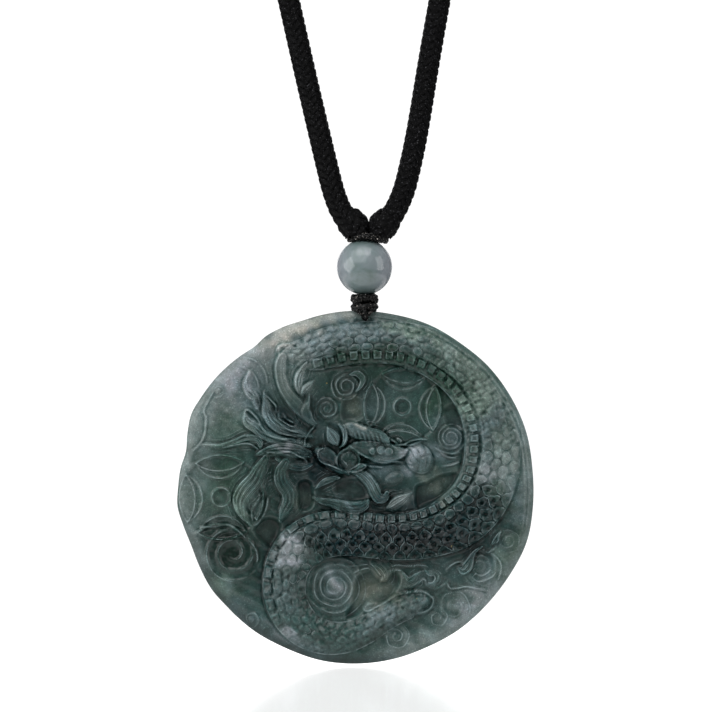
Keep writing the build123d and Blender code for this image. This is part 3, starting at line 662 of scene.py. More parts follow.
class Carving:
    """Heights over the plaque's front, in millimetres above its field, and where arrises and strands lie."""

    def __init__(self, x, z, radius):
        self.x = x
        self.z = z
        self.radius = radius
        self.height = np.zeros_like(x)
        self.strand = np.zeros_like(x)
        self.arris = np.full_like(x, NO_ARRIS)
        self.stranded = np.zeros_like(x)

    def near(self, rows, reach):
        """The places within reach of rows whose first columns are x and z shares."""
        spots = np.array([row[:2] for row in rows]) * self.radius
        low = spots.min(0) - reach
        high = spots.max(0) + reach
        between = (self.x > low[0]) & (self.x < high[0])
        return np.nonzero(between & (self.z > low[1]) & (self.z < high[1]))[0]

    def around(self, x, z, reach):
        """The places within reach of a spot, and how far to its right and above it they are."""
        where = self.near([(x, z)], reach)
        return where, self.x[where] - x * self.radius, self.z[where] - z * self.radius

    def follow(self, rows, reach, steps=8):
        """Places near a line: their numbers, how far along and to the right of it, and its columns there."""
        line = smooth_rows(rows, steps)
        line[:, :2] *= self.radius
        where = self.near(rows, reach)
        x, z = self.x[where], self.z[where]
        best = np.full(len(where), 1e9)
        along = np.zeros(len(where))
        aside = np.zeros(len(where))
        columns = np.zeros((len(where), line.shape[1] - 2))
        travelled = 0.0
        for a, b in zip(line, line[1:]):
            way = b[:2] - a[:2]
            length = hypot(way[0], way[1])
            way = way / length
            dx, dz = x - a[0], z - a[1]
            share = np.clip((dx * way[0] + dz * way[1]) / length, 0, 1)
            off = np.hypot(dx - share * length * way[0], dz - share * length * way[1])
            closer = off < best
            side = np.where(dx * way[1] - dz * way[0] >= 0, 1, -1)
            best = np.where(closer, off, best)
            along = np.where(closer, travelled + share * length, along)
            aside = np.where(closer, off * side, aside)
            columns[closer] = (a[2:] + share[:, None] * (b[2:] - a[2:]))[closer]
            travelled += length
        return where, along, aside, columns.T

    def mark(self, where, edge, reach=ARRIS_REACH):
        """Marks an arris or thin ridge where it is nearer than reach."""
        close = edge > -reach
        self.arris[where[close]] = np.minimum(edge[close], 1)

    def soften(self, where, edge, side=True):
        """Takes the arris away from an edge, or from one side of it."""
        inner = side & (edge > 0)
        self.arris[where[inner]] = np.clip(edge[inner], SOFT_ARRIS, 1)
        self.arris[where[side & (edge <= 0) & (edge > -ARRIS_REACH)]] = NO_ARRIS

    def lay(self, where, edge, surface, soft=0.16, groove=0.10, strand=0.0, stranded=0.0):
        """Lays a surface inside an edge, with a dark groove cut round it and its own fine strands."""
        cover = smooth_step(-soft, soft, edge)
        here = self.height[where] * (1 - cover) + surface * cover
        self.height[where] = here - groove * ridge(edge + GROOVE_OUT, GROOVE_WIDTH)
        self.mark(where, edge)
        inner = edge > 0
        self.strand[where[inner]] = np.broadcast_to(strand, edge.shape)[inner]
        self.stranded[where[inner]] = stranded

    def line(self, half, rise, rows):
        """A thin raised line that runs out at both ends, with a faint groove on each side."""
        where, along, aside, _ = self.follow(rows, 1.5)
        ends = smooth_step(0, LINE_FADE, along) * smooth_step(0, LINE_FADE, along.max() - along)
        self.height[where] += ends * rise * ridge(aside, half)
        for side in (-1, 1):
            self.height[where] -= 0.4 * ends * rise * ridge(aside - side * 2.1 * half, half)
        self.mark(where, np.where(ends > 0.3, 0.12 * ends - np.abs(aside), UNMARKED))

    def lock(self, rise, ridges, lip, rows):
        """A low ridged form that is crisp on its lip side and runs out softly on the other."""
        where, along, aside, (half,) = self.follow(rows, 2.5)
        half = half * self.radius
        across = np.clip(aside / half, -1, 1)
        surface = rise * (0.12 + 0.42 * np.sqrt(1 - 0.98 * across**2))
        if ridges:
            deep = 0.34 * smooth_step(0.10, 0.6, half) * (0.75 + 0.25 * np.sin(1.7 * along + 9 * rows[0][0]))
            phase = ridges * (across + 1) / 2 + 0.06 * np.sin(1.1 * along)
            surface += deep * (crest(phase, 2.5) - 0.4)
        for side in (-1, 1):
            if lip != -side:
                surface += 0.26 * ridge(half - side * aside - 0.18, 0.14)
        fine = max(ridges, 1) * 1.4 * across + 0.12 * np.sin(0.9 * along)
        edge = half - np.abs(aside)
        plain = lip * aside < 0
        self.lay(where, edge, surface, np.where(plain, 0.5, 0.2), np.where(plain, 0, 0.05), fine,
                 1.0 if ridges else 0.5)
        self.soften(where, edge, plain)
        self.echo(where, along, np.abs(aside) - half)

    def echo(self, where, along, outside):
        """Faint lines that follow a lock on the low ground beside it."""
        share = along / along.max()
        low_ground = self.height[where] < 0.45
        body = smooth_step(0.05, 0.25, share) * smooth_step(0.97, 0.75, share) * low_ground
        for reach, rise in ((0.42, 0.10), (0.86, 0.06)):
            away = outside - reach - 0.08 * np.sin(1.3 * along)
            self.height[where] += rise * body * ridge(away, 0.14)
            self.mark(where, np.where(body > 0.6, 0.06 - np.abs(away), UNMARKED), 0.12)

    def lump(self, x, z, half_length, half_width, turn, rise, outlined):
        """An oval lump on what is there, with an outline or run out softly."""
        where, dx, dz = self.around(x, z, self.radius * half_length + 1)
        a, b = turned(dx, dz, turn)
        off = np.hypot(a / (half_length * self.radius), b / (half_width * self.radius))
        surface = self.height[where] + rise * np.clip(1 - off**2, 0, 1) ** 0.7
        edge = (1 - off) * half_width * self.radius
        self.lay(where, edge, surface, groove=0.12 if outlined else 0)
        if not outlined:
            self.soften(where, edge)

    def scroll(self, x, z, radius, turns, start, hand, rise, boss, wave):
        """A spiral of thin ridges round a boss or a dimple."""
        size = radius * self.radius
        where, dx, dz = self.around(x, z, size + 1)
        off = np.hypot(dx, dz) / size
        turn = np.arctan2(dz, dx) - radians(start)
        phase = turns * off + hand * turn / (2 * pi)
        phase += wave * np.sin(5 * turn + 3 * off) * smooth_step(0.25, 0.7, off)
        inside = smooth_step(1.06, 0.94, off)
        rings = rise * (crest(phase, 3.0) - 0.3) * smooth_step(0.12, 0.30, off)
        self.height[where] += inside * (rings + boss * (1 - smooth_step(0.18, 0.36, off)))
        away = np.abs((phase + 0.5) % 1 - 0.5) * size / turns
        self.mark(where, np.where((off < 1) & (off > 0.25), 0.10 - away, UNMARKED))

    def coin(self, x, z, radius, turn):
        """A coin sunk a little, with four petals, each drawn twice, round a ringed eye."""
        ring = radius * self.radius
        where, dx, dz = self.around(x, z, ring + 1)
        off = np.hypot(dx, dz)
        way = np.arctan2(dz, dx) - radians(turn)
        self.height[where] -= 0.25 * smooth_step(ring, ring - 0.5, off)
        quarter = (way + pi / 4) % (pi / 2) - pi / 4
        px, pz = off * np.cos(quarter), off * np.sin(quarter)
        reach, angle = PETAL_CORNER
        corner_x, corner_z = reach * ring * cos(radians(angle)), reach * ring * sin(radians(angle))
        inside = []
        for share in PETAL_LINES:
            sag = corner_x - share * ring
            bend = (corner_z**2 + sag**2) / (2 * sag)
            inside.append(bend - np.hypot(px - share * ring - bend, pz))
        border, petal = (np.minimum(edge, ring - off) for edge in inside)
        eye = COIN_EYE * ring
        add = COIN_RISE * (0.6 * smooth_step(-0.05, 0.5, petal) + ridge(petal - 0.08, 0.12))
        add += COIN_RISE * 0.9 * ridge(border - 0.05, 0.12) * (petal < 0.25)
        add += COIN_RISE * ridge(off - eye, 0.15)
        self.height[where] += add - 0.22 * smooth_step(eye, eye - 0.35, off)
        drawn = np.where(petal > -0.22, petal, border)
        drawn = np.where(off < eye + 0.5, 0.10 - np.abs(off - eye), drawn)
        self.mark(where, np.where(off < ring + 0.3, drawn, UNMARKED))

    def flat(self, depth, corners):
        """A flat sunk between rounded corners; returns its places and how far each lies in it."""
        where = self.near(corners, 1.5)
        x, z = self.x[where], self.z[where]
        spots = smooth_rows(corners, 4, closed=True) * self.radius
        best = np.full(len(where), 1e9)
        inside = np.zeros(len(where), bool)
        for a, b in zip(spots, np.roll(spots, -1, axis=0)):
            way = b - a
            length = hypot(way[0], way[1])
            dx, dz = x - a[0], z - a[1]
            share = np.clip((dx * way[0] + dz * way[1]) / length**2, 0, 1)
            best = np.minimum(best, np.hypot(dx - share * way[0], dz - share * way[1]))
            if a[1] != b[1]:
                crosses = (a[1] > z) != (b[1] > z)
                inside ^= crosses & (x < a[0] + (z - a[1]) * way[0] / way[1])
        cover = smooth_step(-0.45, 0.35, np.where(inside, best, -best))
        self.height[where] = self.height[where] * (1 - cover) - depth * cover
        return where, cover

    def coil(self):
        """The dragon's scaly coil with its belly scutes."""
        where, along, aside, (half, rise, scute_at, border_at, crisp, belly) = self.follow(COIL, 6)
        x, z = self.x[where], self.z[where]
        half = half * self.radius
        across = np.clip(aside / half, -1, 1)
        loose = smooth_step(0.75, 0.35, crisp) * np.where(across < 0, 1, smooth_step(0.6, 0.1, belly))
        dome = 0.12 + 0.88 * (1 - np.abs(across) ** 2.6)
        dome = dome * (1 - loose) + smooth_step(1.02, 0.15, np.abs(across)) * loose
        surface = COIL_RISE * rise * dome
        jitter = 0.14 * ripple(x, z, 4.0, 3) + 0.05 * ripple(x, z, 1.6, 4)
        scales, scale_edge = self.scales(along, across, border_at, crisp, jitter)
        scutes, scute_edge = self.scutes(along, aside, half, scute_at, belly)
        surface += scales + scutes
        beside = aside - border_at * half
        surface += belly * (0.14 * ridge(beside, 0.12) - 0.20 * ridge(beside - 0.34, 0.18))
        feather = smooth_step(0.45, 0.25, crisp) * smooth_step(-0.98, -0.75, across) * (across < border_at)
        wander = 0.6 * ripple(x, z, 6.0, 7) + 0.35 * aside
        surface += feather * belly**4 * 0.14 * (crest(along / 1.15 + wander, 1.6) - 0.4)
        surface += 0.12 * (1 - crisp) * (ripple(x, z, 1.5, 5) + ripple(x, z, 0.8, 6))
        edge = half - np.abs(aside)
        self.lay(where, edge, surface, 0.16 + 0.5 * loose, 0.12 * (1 - loose))
        cut = crisp + 0.15 * ripple(x, z, 3.0, 8)
        scaled = np.where(cut > 0.44, scale_edge, NO_ARRIS)
        bellied = np.where(cut > 0.5, scute_edge, NO_ARRIS)
        inside = edge > 0.3
        drawn = np.where(across < border_at, scaled, bellied)[inside]
        self.arris[where[inside]] = np.clip(drawn, -1, 1)

    def scales(self, along, across, border_at, crisp, jitter):
        """Rows of hooded scales, larger next to the belly, and plain pebbles where the coil is worn."""
        row = (border_at - across) / (border_at + 0.97) * SCALE_ROWS + jitter
        number = np.floor(row)
        down = row - number
        cell = along / SCALE_PITCH + 0.5 * (number % 2) + 0.4 * jitter
        side = cell - np.floor(cell) - 0.5
        tilt = 0.06 * np.sin(12.9 * np.floor(cell) + 78.2 * number)
        off = np.hypot(side / 0.47, (down - 0.50) / 0.52)
        square = 0.34 * smooth_step(1.04, 0.78, off) + 0.14 * ridge(off - 0.78, 0.14)
        edge = 0.47 * np.clip(down / 0.62, 0, 1) ** 0.7 - np.abs(side)
        hood = 0.24 * smooth_step(-0.05, 0.06, edge) + 0.22 * ridge(edge - 0.05, 0.06)
        hood -= 0.60 * ridge(side, 0.18) * ridge(down - 0.66, 0.22)
        pebble = 0.30 * smooth_step(1.03, 0.62, off) + 0.08 * (1 - off)
        clear = smooth_step(0.50, 0.85, crisp)
        first = number <= 0
        tile = np.where(first, square, hood) * clear + pebble * (1 - clear) + tilt
        inside = smooth_step(border_at, border_at - 0.06, across)
        inner_edge = np.where(first | (clear < 0.5), (1.0 - off) * 1.2, edge * 2.4)
        return inside * (0.45 + 0.55 * crisp) * (tile - 0.12), inner_edge

    def scutes(self, along, aside, half, scute_at, strength):
        """Square belly scutes in one row."""
        cell = along / SCUTE_PITCH
        side = np.abs(cell - np.floor(cell) - 0.5) * SCUTE_PITCH - SCUTE_HALF[0]
        beyond = np.abs(aside - scute_at * half) - SCUTE_HALF[1]
        off = np.maximum(side, beyond)
        tile = 0.34 * smooth_step(0.10, -0.08, off) + 0.12 * ridge(off + 0.10, 0.09)
        tile -= 0.10 * smooth_step(-0.15, -0.4, off)
        tile -= 0.16 * ridge(off - 0.16, 0.12)
        return tile * strength, np.where(strength > 0.35, -off, NO_ARRIS)

    def face(self):
        """Eye ring, brow curls and the pearl's cracks, over the laid forms."""
        where, dx, dz = self.around(*EYE, 3)
        off = np.hypot(dx, dz)
        ring = EYE_RADIUS * self.radius
        cover = smooth_step(ring + 0.15, ring - 0.1, off)
        ball = 0.80 + 0.16 * np.sqrt(np.clip(1 - (off / (0.75 * ring)) ** 2, 0, 1))
        ball += 0.05 * np.cos(9 * np.arctan2(dz, dx)) * smooth_step(0.2, 0.8, off) * (off < ring * 0.7)
        self.height[where] = self.height[where] * (1 - cover) + ball * cover
        self.height[where] += 0.30 * ridge(off - ring, 0.13) - 0.14 * ridge(off - ring + 0.34, 0.16)
        self.mark(where, 0.10 - np.abs(off - ring), 0.3)
        where, along, aside, _ = self.follow([(*end, 0.0) for end in BROW_CURLS], 1.6, 6)
        mask = ridge(aside, 0.62) * smooth_step(0, 0.4, along) * smooth_step(4.8, 4.2, along)
        self.height[where] += 0.22 * mask * np.cos(2 * pi * (along - 0.55 * aside) / 0.66)
        where, dx, dz = self.around(*PEARL, 2.6)
        veins = np.abs(ripple(dx, dz, 1.9, 11))
        self.height[where] -= 0.24 * ridge(veins, 0.18) * (np.hypot(dx, dz) < 2.1)


def node(tree, kind, settings=None, inputs=None, stops=()):
    """Adds a node with its settings, its inputs as values or links, and a ramp's (place, colour) stops."""
    made = tree.nodes.new(kind)
    for name, value in (settings or {}).items():
        setattr(made, name, value)
    for name, value in (inputs or {}).items():
        if isinstance(value, bpy.types.NodeSocket):
            tree.links.new(value, made.inputs[name])
        else:
            made.inputs[name].default_value = value
    if stops:
        elements = made.color_ramp.elements
        while len(elements) < len(stops):
            elements.new(0.5)
        for element, (place, colour) in zip(elements, stops):
            element.position = place
            element.color = (*np.broadcast_to(colour, 3).astype(float), 1)
    return made


def new_material(name):
    """An empty material, its node tree and its Object coordinates."""
    material = bpy.data.materials.new(name)
    material.use_nodes = True
    tree = material.node_tree
    tree.nodes.clear()
    return material, tree, node(tree, "ShaderNodeTexCoord").outputs["Object"]


def graded(tree, colour, rows):
    """A colour multiplied by what each pattern's stops give."""
    for pattern, stops in rows:
        grade = node(tree, "ShaderNodeValToRGB", inputs={"Fac": pattern}, stops=stops).outputs["Color"]
        colour = node(tree, "ShaderNodeMix", TINT, {AMOUNT: 1.0, FROM: colour, WITH: grade}).outputs[MIXED]
    return colour


def clouded(tree, place, stone):
    """Cotton-like clouds in the stone, 4 mm and 0.8 mm across, and a grain of 0.2 mm with painted glints."""
    cloud = node(tree, "ShaderNodeTexNoise", inputs={
        "Vector": place, "Scale": 1 / (4 * MM), "Detail": 6.0, "Roughness": 0.6, "Distortion": 0.8})
    fine = node(tree, "ShaderNodeTexNoise", inputs={
        "Vector": place, "Scale": 1 / (0.8 * MM), "Detail": 6.0, "Roughness": 0.75})
    grain_and_glint = node(tree, "ShaderNodeTexNoise", inputs={
        "Vector": place, "Scale": 1 / (0.2 * MM), "Detail": 1.0})
    return graded(tree, stone, [
        (cloud.outputs["Fac"], [(0.30, (0.58, 0.66, 0.60)), (0.50, 1.0), (0.72, (1.40, 1.43, 1.47))]),
        (fine.outputs["Fac"], [(0.30, (0.76, 0.80, 0.80)), (0.70, 1.23)]),
        # A faint grain, with painted glints where it is highest.
        (grain_and_glint.outputs["Fac"], [(0.30, 0.90), (0.50, 1.0), (0.63, 1.03), (0.76, 1.70)]),
    ])


def painted_cut_shade_and_edge_light(tree, colour, hollow, wear_and_highlight):
    """Painted shade in the cuts, in part dark wax, and painted highlights on raised edges, in part wear."""
    return graded(tree, colour, [
        # Painted shade: the cuts darkened towards a teal shadow.
        (hollow, [
            (0.0, (0.18, 0.32, 0.31)), (0.30, (0.56, 0.70, 0.69)), (0.46, (0.94, 0.98, 0.98)), (0.54, 1.0),
            (1.0, (1.05, 1.06, 1.07))]),
        # Painted highlight: raised edges lightened.
        (wear_and_highlight, [
            (0.0, (0.56, 0.69, 0.67)), (0.44, (0.94, 0.97, 0.97)), (0.54, 1.0), (0.78, (1.12, 1.12, 1.13)),
            (1.0, (1.36, 1.36, 1.38))]),
    ])


def arris_highlight_and_shade(tree, place, colour, arris):
    """A painted highlight on each arris with a dark line of painted shade beside it, broken up so that no
    line runs clean.
    """
    across = node(tree, "ShaderNodeMapRange", inputs={
        "Value": arris, "From Min": -ARRIS_REACH, "From Max": 1 - ARRIS_REACH}).outputs[0]
    # The dark line beside the arris: painted shade.
    beside = node(tree, "ShaderNodeValToRGB", inputs={"Fac": across}, stops=[
        (0.0, 1.0), (0.17, (0.88, 0.91, 0.91)), (0.27, (0.58, 0.70, 0.69)), (0.36, (0.88, 0.92, 0.92)),
        (0.44, 1.0)])
    # The bright line on the arris: painted highlight.
    line = node(tree, "ShaderNodeValToRGB", inputs={"Fac": across},
                stops=[(0.34, 0), (0.43, 0.62), (0.55, 0)])
    broken = node(tree, "ShaderNodeTexNoise", inputs={
        "Vector": place, "Scale": 1 / (1.6 * MM), "Detail": 3.0})
    amount = node(tree, "ShaderNodeMapRange", inputs={
        "Value": broken.outputs["Fac"], "From Min": 0.40, "From Max": 0.60, "To Min": 0.10,
        "To Max": 1.0}).outputs[0]
    darkened = node(tree, "ShaderNodeMix", TINT, {
        AMOUNT: amount, FROM: colour, WITH: beside.outputs["Color"]})
    shown = node(tree, "ShaderNodeMath", {"operation": "MULTIPLY"}, {0: line.outputs["Color"], 1: amount})
    return node(tree, "ShaderNodeMix", BLEND, {
        AMOUNT: shown.outputs[0], FROM: darkened.outputs[MIXED],
        WITH: (*linear("#93a1a3"), 1)}).outputs[MIXED]


def engraved_hair(tree, strand, stranded):
    """Fine strands engraved along the mane and beard, finer than the mesh holds, from 0 to 1."""
    steps = [
        # operation and its further values
        ("MULTIPLY", 2 * pi), ("COSINE",), ("MULTIPLY_ADD", 0.5, 0.5), ("POWER", 4.0), ("MULTIPLY", stranded),
    ]
    hair = strand
    for operation, *values in steps:
        inputs = dict(enumerate([hair, *values]))
        hair = node(tree, "ShaderNodeMath", {"operation": operation}, inputs).outputs[0]
    return hair


def iron_specks(tree, place, colour):
    """Ochre specks of iron, rare and about 0.3 mm across."""
    spots = node(tree, "ShaderNodeTexVoronoi", inputs={"Vector": place, "Scale": 1 / (3.4 * MM)})
    speck = node(tree, "ShaderNodeValToRGB", inputs={"Fac": spots.outputs["Distance"]},
                 stops=[(0.0, 1), (0.04, 1), (0.06, 0)])
    patches = node(tree, "ShaderNodeTexNoise", inputs={"Vector": place, "Scale": 1 / (9 * MM), "Detail": 1.0})
    patch = node(tree, "ShaderNodeValToRGB", inputs={"Fac": patches.outputs["Fac"]},
                 stops=[(0.60, 0), (0.64, 1)])
    rare = node(tree, "ShaderNodeMath", {"operation": "MULTIPLY"}, {
        0: speck.outputs["Color"], 1: patch.outputs["Color"]})
    return node(tree, "ShaderNodeMix", BLEND, {
        AMOUNT: rare.outputs[0], FROM: colour, WITH: (*linear("#7d7548"), 1)}).outputs[MIXED]


def carved_jade():
    """Jadeite carved and wax polished: cloudy green-grey stone with painted shade in the cuts, glossy on the
    high work.
    """
    material, tree, place = new_material("jadeite_carved_wax_polished")
    kept = {name: node(tree, "ShaderNodeAttribute", {"attribute_name": name}).outputs for name in KEPT}
    colour = clouded(tree, place, kept["stone"]["Color"])
    # Painted shade in the cuts and painted highlights on raised edges, in part wax and wear.
    colour = painted_cut_shade_and_edge_light(tree, colour, kept["hollow"]["Fac"], kept["wear_and_highlight"]["Fac"])
    # Painted highlights on the arrises and painted shade beside them.
    colour = arris_highlight_and_shade(tree, place, colour, kept["arris"]["Fac"])
    hair = engraved_hair(tree, kept["strand"]["Fac"], kept["stranded"]["Fac"])
    # Painted highlight along the crests of the engraved strands and painted shade between them.
    colour = graded(tree, colour, [
        (hair, [(0.0, (0.84, 0.90, 0.90)), (0.4, (1.04, 1.06, 1.06)), (1.0, (2.10, 2.10, 2.15))])])
    # The sunk flats are left matt from the tool.
    roughness = node(tree, "ShaderNodeMapRange", inputs={
        "Value": kept["matt"]["Fac"], "To Min": 0.27, "To Max": 0.55})
    tooling = node(tree, "ShaderNodeTexNoise", inputs={
        "Vector": place, "Scale": 1 / (0.35 * MM), "Detail": 3.0, "Roughness": 0.6})
    grazed = node(tree, "ShaderNodeMath", {"operation": "MULTIPLY_ADD"}, {
        0: hair, 1: 0.8, 2: tooling.outputs["Fac"]})
    bump = node(tree, "ShaderNodeBump", inputs={
        "Strength": 0.6, "Distance": 0.06 * MM, "Height": grazed.outputs[0]})
    shader = node(tree, "ShaderNodeBsdfPrincipled", inputs={
        "Base Color": iron_specks(tree, place, colour), "Roughness": roughness.outputs[0], "IOR": 1.66,
        "Specular IOR Level": 0.18, "Subsurface Weight": 0.45, "Subsurface Radius": (0.9, 1.0, 1.0),
        "Subsurface Scale": 1.2 * MM, "Coat Weight": 0.20, "Coat Roughness": 0.10,
        "Normal": bump.outputs["Normal"]})
    node(tree, "ShaderNodeOutputMaterial", inputs={"Surface": shader.outputs[0]})
    return material


def bead_jade():
    """Jadeite turned and polished: an even blue-grey bead with faint clouds."""
    material, tree, place = new_material("jadeite_turned_polished")
    cloud = node(tree, "ShaderNodeTexNoise", inputs={
        "Vector": place, "Scale": 1 / (3.0 * MM), "Detail": 6.0, "Roughness": 0.65, "Distortion": 0.8})
    body = node(tree, "ShaderNodeValToRGB", inputs={"Fac": cloud.outputs["Fac"]}, stops=[
        (0.30, linear("#6c7e79")), (0.5, linear("#829092")), (0.75, linear("#979ca1"))])
    colour = body.outputs["Color"]
    axes = node(tree, "ShaderNodeSeparateXYZ", inputs={"Vector": place})
    tones = [
        # axis, middle, colour, how much of it from the low end to the high end
        ("Z", BEAD_CENTRE.z, "#4d625e", [(0.02, 1), (0.22, 0.15), (0.78, 0), (0.97, 1)]),
        # Painted reflection: lilac on the left and right sides.
        ("X", BEAD_CENTRE.x, "#8f949b", [
            (0.0, 1), (0.08, 0.7), (0.30, 0.1), (0.65, 0.1), (0.85, 0.7), (1.0, 1)]),
    ]
    # Greener towards the two poles, and lilac towards the left and right sides: a painted edge reflection.
    for axis, middle, tone, stops in tones:
        share = node(tree, "ShaderNodeMapRange", inputs={
            "Value": axes.outputs[axis], "From Min": middle - BEAD_RADIUS, "From Max": middle + BEAD_RADIUS})
        amount = node(tree, "ShaderNodeValToRGB", inputs={"Fac": share.outputs[0]}, stops=stops)
        colour = node(tree, "ShaderNodeMix", BLEND, {
            AMOUNT: amount.outputs["Color"], FROM: colour, WITH: (*linear(tone), 1)}).outputs[MIXED]
    shader = node(tree, "ShaderNodeBsdfPrincipled", inputs={
        "Base Color": colour, "Roughness": 0.14, "IOR": 1.66, "Specular IOR Level": 0.40,
        "Subsurface Weight": 0.8, "Subsurface Radius": (0.9, 1.0, 1.0), "Subsurface Scale": 2.5 * MM})
    node(tree, "ShaderNodeOutputMaterial", inputs={"Surface": shader.outputs[0]})
    return material


def waxed_thread():
    """Waxed polyester thread, two plies twisted: near black with small glints painted into its colour."""
    material, tree, place = new_material("polyester_thread_waxed")
    uneven = node(tree, "ShaderNodeTexNoise", inputs={
        "Vector": place, "Scale": 1 / (0.5 * MM), "Detail": 3.0})
    fuzz_and_glint = node(tree, "ShaderNodeTexNoise", inputs={"Vector": place, "Scale": 1 / (0.24 * MM), "Detail": 2.0})
    # Painted glints: pale specks where the noise is highest.
    colour = node(tree, "ShaderNodeValToRGB", inputs={"Fac": fuzz_and_glint.outputs["Fac"]}, stops=[
        (0.62, linear("#020202")), (0.68, linear("#4a4745")), (0.73, linear("#ded7cd"))])
    rough = node(tree, "ShaderNodeMapRange", inputs={
        "Value": uneven.outputs["Fac"], "To Min": 0.10, "To Max": 0.45})
    shader = node(tree, "ShaderNodeBsdfPrincipled", inputs={
        "Base Color": colour.outputs["Color"], "Roughness": rough.outputs[0], "IOR": 1.5,
        "Specular IOR Level": 0.22})
    node(tree, "ShaderNodeOutputMaterial", inputs={"Surface": shader.outputs[0]})
    return material


def braided_yarn():
    """Matt black polyester yarn, braided: fibres lie along each strand, and loose ones are painted a dull
    grey highlight.
    """
    material, tree, place = new_material("polyester_yarn_braided")
    lay = node(tree, "ShaderNodeUVMap", {"uv_map": "lay"})
    along = node(tree, "ShaderNodeMapping", inputs={"Vector": lay.outputs["UV"], "Scale": (1.0, 7.0, 1.0)})
    fibre = node(tree, "ShaderNodeTexWave", {"bands_direction": "Y", "wave_profile": "SIN"}, {
        "Vector": along.outputs[0], "Scale": 1.0, "Distortion": 2.0, "Detail": 2.0, "Detail Scale": 1.5})
    yarn = node(tree, "ShaderNodeValToRGB", inputs={"Fac": fibre.outputs["Fac"]}, stops=[
        (0.2, linear("#020202")), (0.8, linear("#09090b"))])
    # Loose fibres, painted a dull grey highlight where they catch the light.
    fuzz_and_glint = node(tree, "ShaderNodeTexNoise", inputs={"Vector": place, "Scale": 1 / (0.22 * MM), "Detail": 2.0})
    caught = node(tree, "ShaderNodeValToRGB", inputs={"Fac": fuzz_and_glint.outputs["Fac"]},
                  stops=[(0.62, 0), (0.74, 0.6)])
    fuzzy = node(tree, "ShaderNodeMix", BLEND, {
        AMOUNT: caught.outputs["Color"], FROM: yarn.outputs["Color"], WITH: (*linear("#67676c"), 1)})
    bump = node(tree, "ShaderNodeBump", inputs={
        "Strength": 0.6, "Distance": 0.06 * MM, "Height": fibre.outputs["Fac"]})
    shader = node(tree, "ShaderNodeBsdfPrincipled", inputs={
        "Base Color": fuzzy.outputs[MIXED], "Roughness": 0.50, "IOR": 1.5, "Specular IOR Level": 0.09,
        "Normal": bump.outputs["Normal"]})
    node(tree, "ShaderNodeOutputMaterial", inputs={"Surface": shader.outputs[0]})
    return material


def pale_stage():
    """White acrylic sheet on a light box: nearly white, with a faint reflection of what stands over it."""
    material, tree, place = new_material("acrylic_sheet_lit_white")
    mottle = node(tree, "ShaderNodeTexNoise", inputs={"Vector": place, "Scale": 1 / (60 * MM), "Detail": 2.0})
    colour = node(tree, "ShaderNodeValToRGB", inputs={"Fac": mottle.outputs["Fac"]}, stops=[
        (0.3, linear("#747474")), (0.7, linear("#767676"))])
    shader = node(tree, "ShaderNodeBsdfPrincipled", inputs={
        "Base Color": colour.outputs["Color"], "Roughness": 0.10, "IOR": 1.49,
        "Emission Color": (1, 1, 1, 1), "Emission Strength": 0.75})
    node(tree, "ShaderNodeOutputMaterial", inputs={"Surface": shader.outputs[0]})
    return material


class PlaqueSettings(bpy.types.PropertyGroup):
    """Sizes of the carved plaque"""
    radius: FloatProperty(name="Radius", description="Mean radius of the plaque", default=25.25 * MM,
                          subtype="DISTANCE", unit="LENGTH")
    field: FloatProperty(name="Field", description="How far the carved field stands in front of the thread",
                         default=1.7 * MM, subtype="DISTANCE", unit="LENGTH")
    thickness: FloatProperty(name="Thickness", description="From the field to the flat back",
                             default=4.3 * MM, subtype="DISTANCE", unit="LENGTH")
    rim_width: FloatProperty(name="Rim width", description="How far in the front edge is rounded",
                             default=1.7 * MM, subtype="DISTANCE", unit="LENGTH")
    rim_fall: FloatProperty(name="Rim fall", description="How far the front edge falls back",
                            default=0.8 * MM, subtype="DISTANCE", unit="LENGTH")
    hole: FloatProperty(name="Hole", description="Diameter of the hole for the thread",
                        default=0.94 * MM, subtype="DISTANCE", unit="LENGTH")
    cells: IntProperty(name="Cells", description="Cells across the carved face", default=290)


class BeadSettings(bpy.types.PropertyGroup):
    """Size of the bead's hole"""
    bore: FloatProperty(name="Bore", description="Diameter of the drilled hole", default=1.7 * MM,
                        subtype="DISTANCE", unit="LENGTH")


class ThreadSettings(bpy.types.PropertyGroup):
    """Sizes of the waxed thread"""
    thread: FloatProperty(name="Thread", description="Diameter of the waxed thread", default=0.66 * MM,
                          subtype="DISTANCE", unit="LENGTH")
    lay: FloatProperty(name="Lay", description="Length of one twist of the two plies", default=1.3 * MM,
                       subtype="DISTANCE", unit="LENGTH")


class CordSettings(bpy.types.PropertyGroup):
    """Sizes of the braided neck cord"""
    diameter: FloatProperty(name="Diameter", description="Diameter of the braided neck cord",
                            default=3.0 * MM, subtype="DISTANCE", unit="LENGTH")
    pitch: FloatProperty(name="Pitch", description="Length of one turn of a strand of the braid",
                         default=9.0 * MM, subtype="DISTANCE", unit="LENGTH")
    strands: IntProperty(name="Strands", description="Strands in each direction", default=8)


class StageSettings(bpy.types.PropertyGroup):
    """Camera, floor and backdrop"""
    distance: FloatProperty(name="Camera distance", description="From the plaque's thread to the camera",
                            default=0.75, subtype="DISTANCE", unit="LENGTH")
    floor_radius: FloatProperty(name="Floor radius", description="Radius of the round floor",
                                default=0.14, subtype="DISTANCE", unit="LENGTH")
    floor_gap: FloatProperty(name="Floor gap", description="From the plaque's lowest point to the floor",
                             default=0.2 * MM, subtype="DISTANCE", unit="LENGTH")
    backdrop: FloatVectorProperty(name="Backdrop", description="Colour round the stage", subtype="COLOR",
                                  default=linear("#ffffff"))


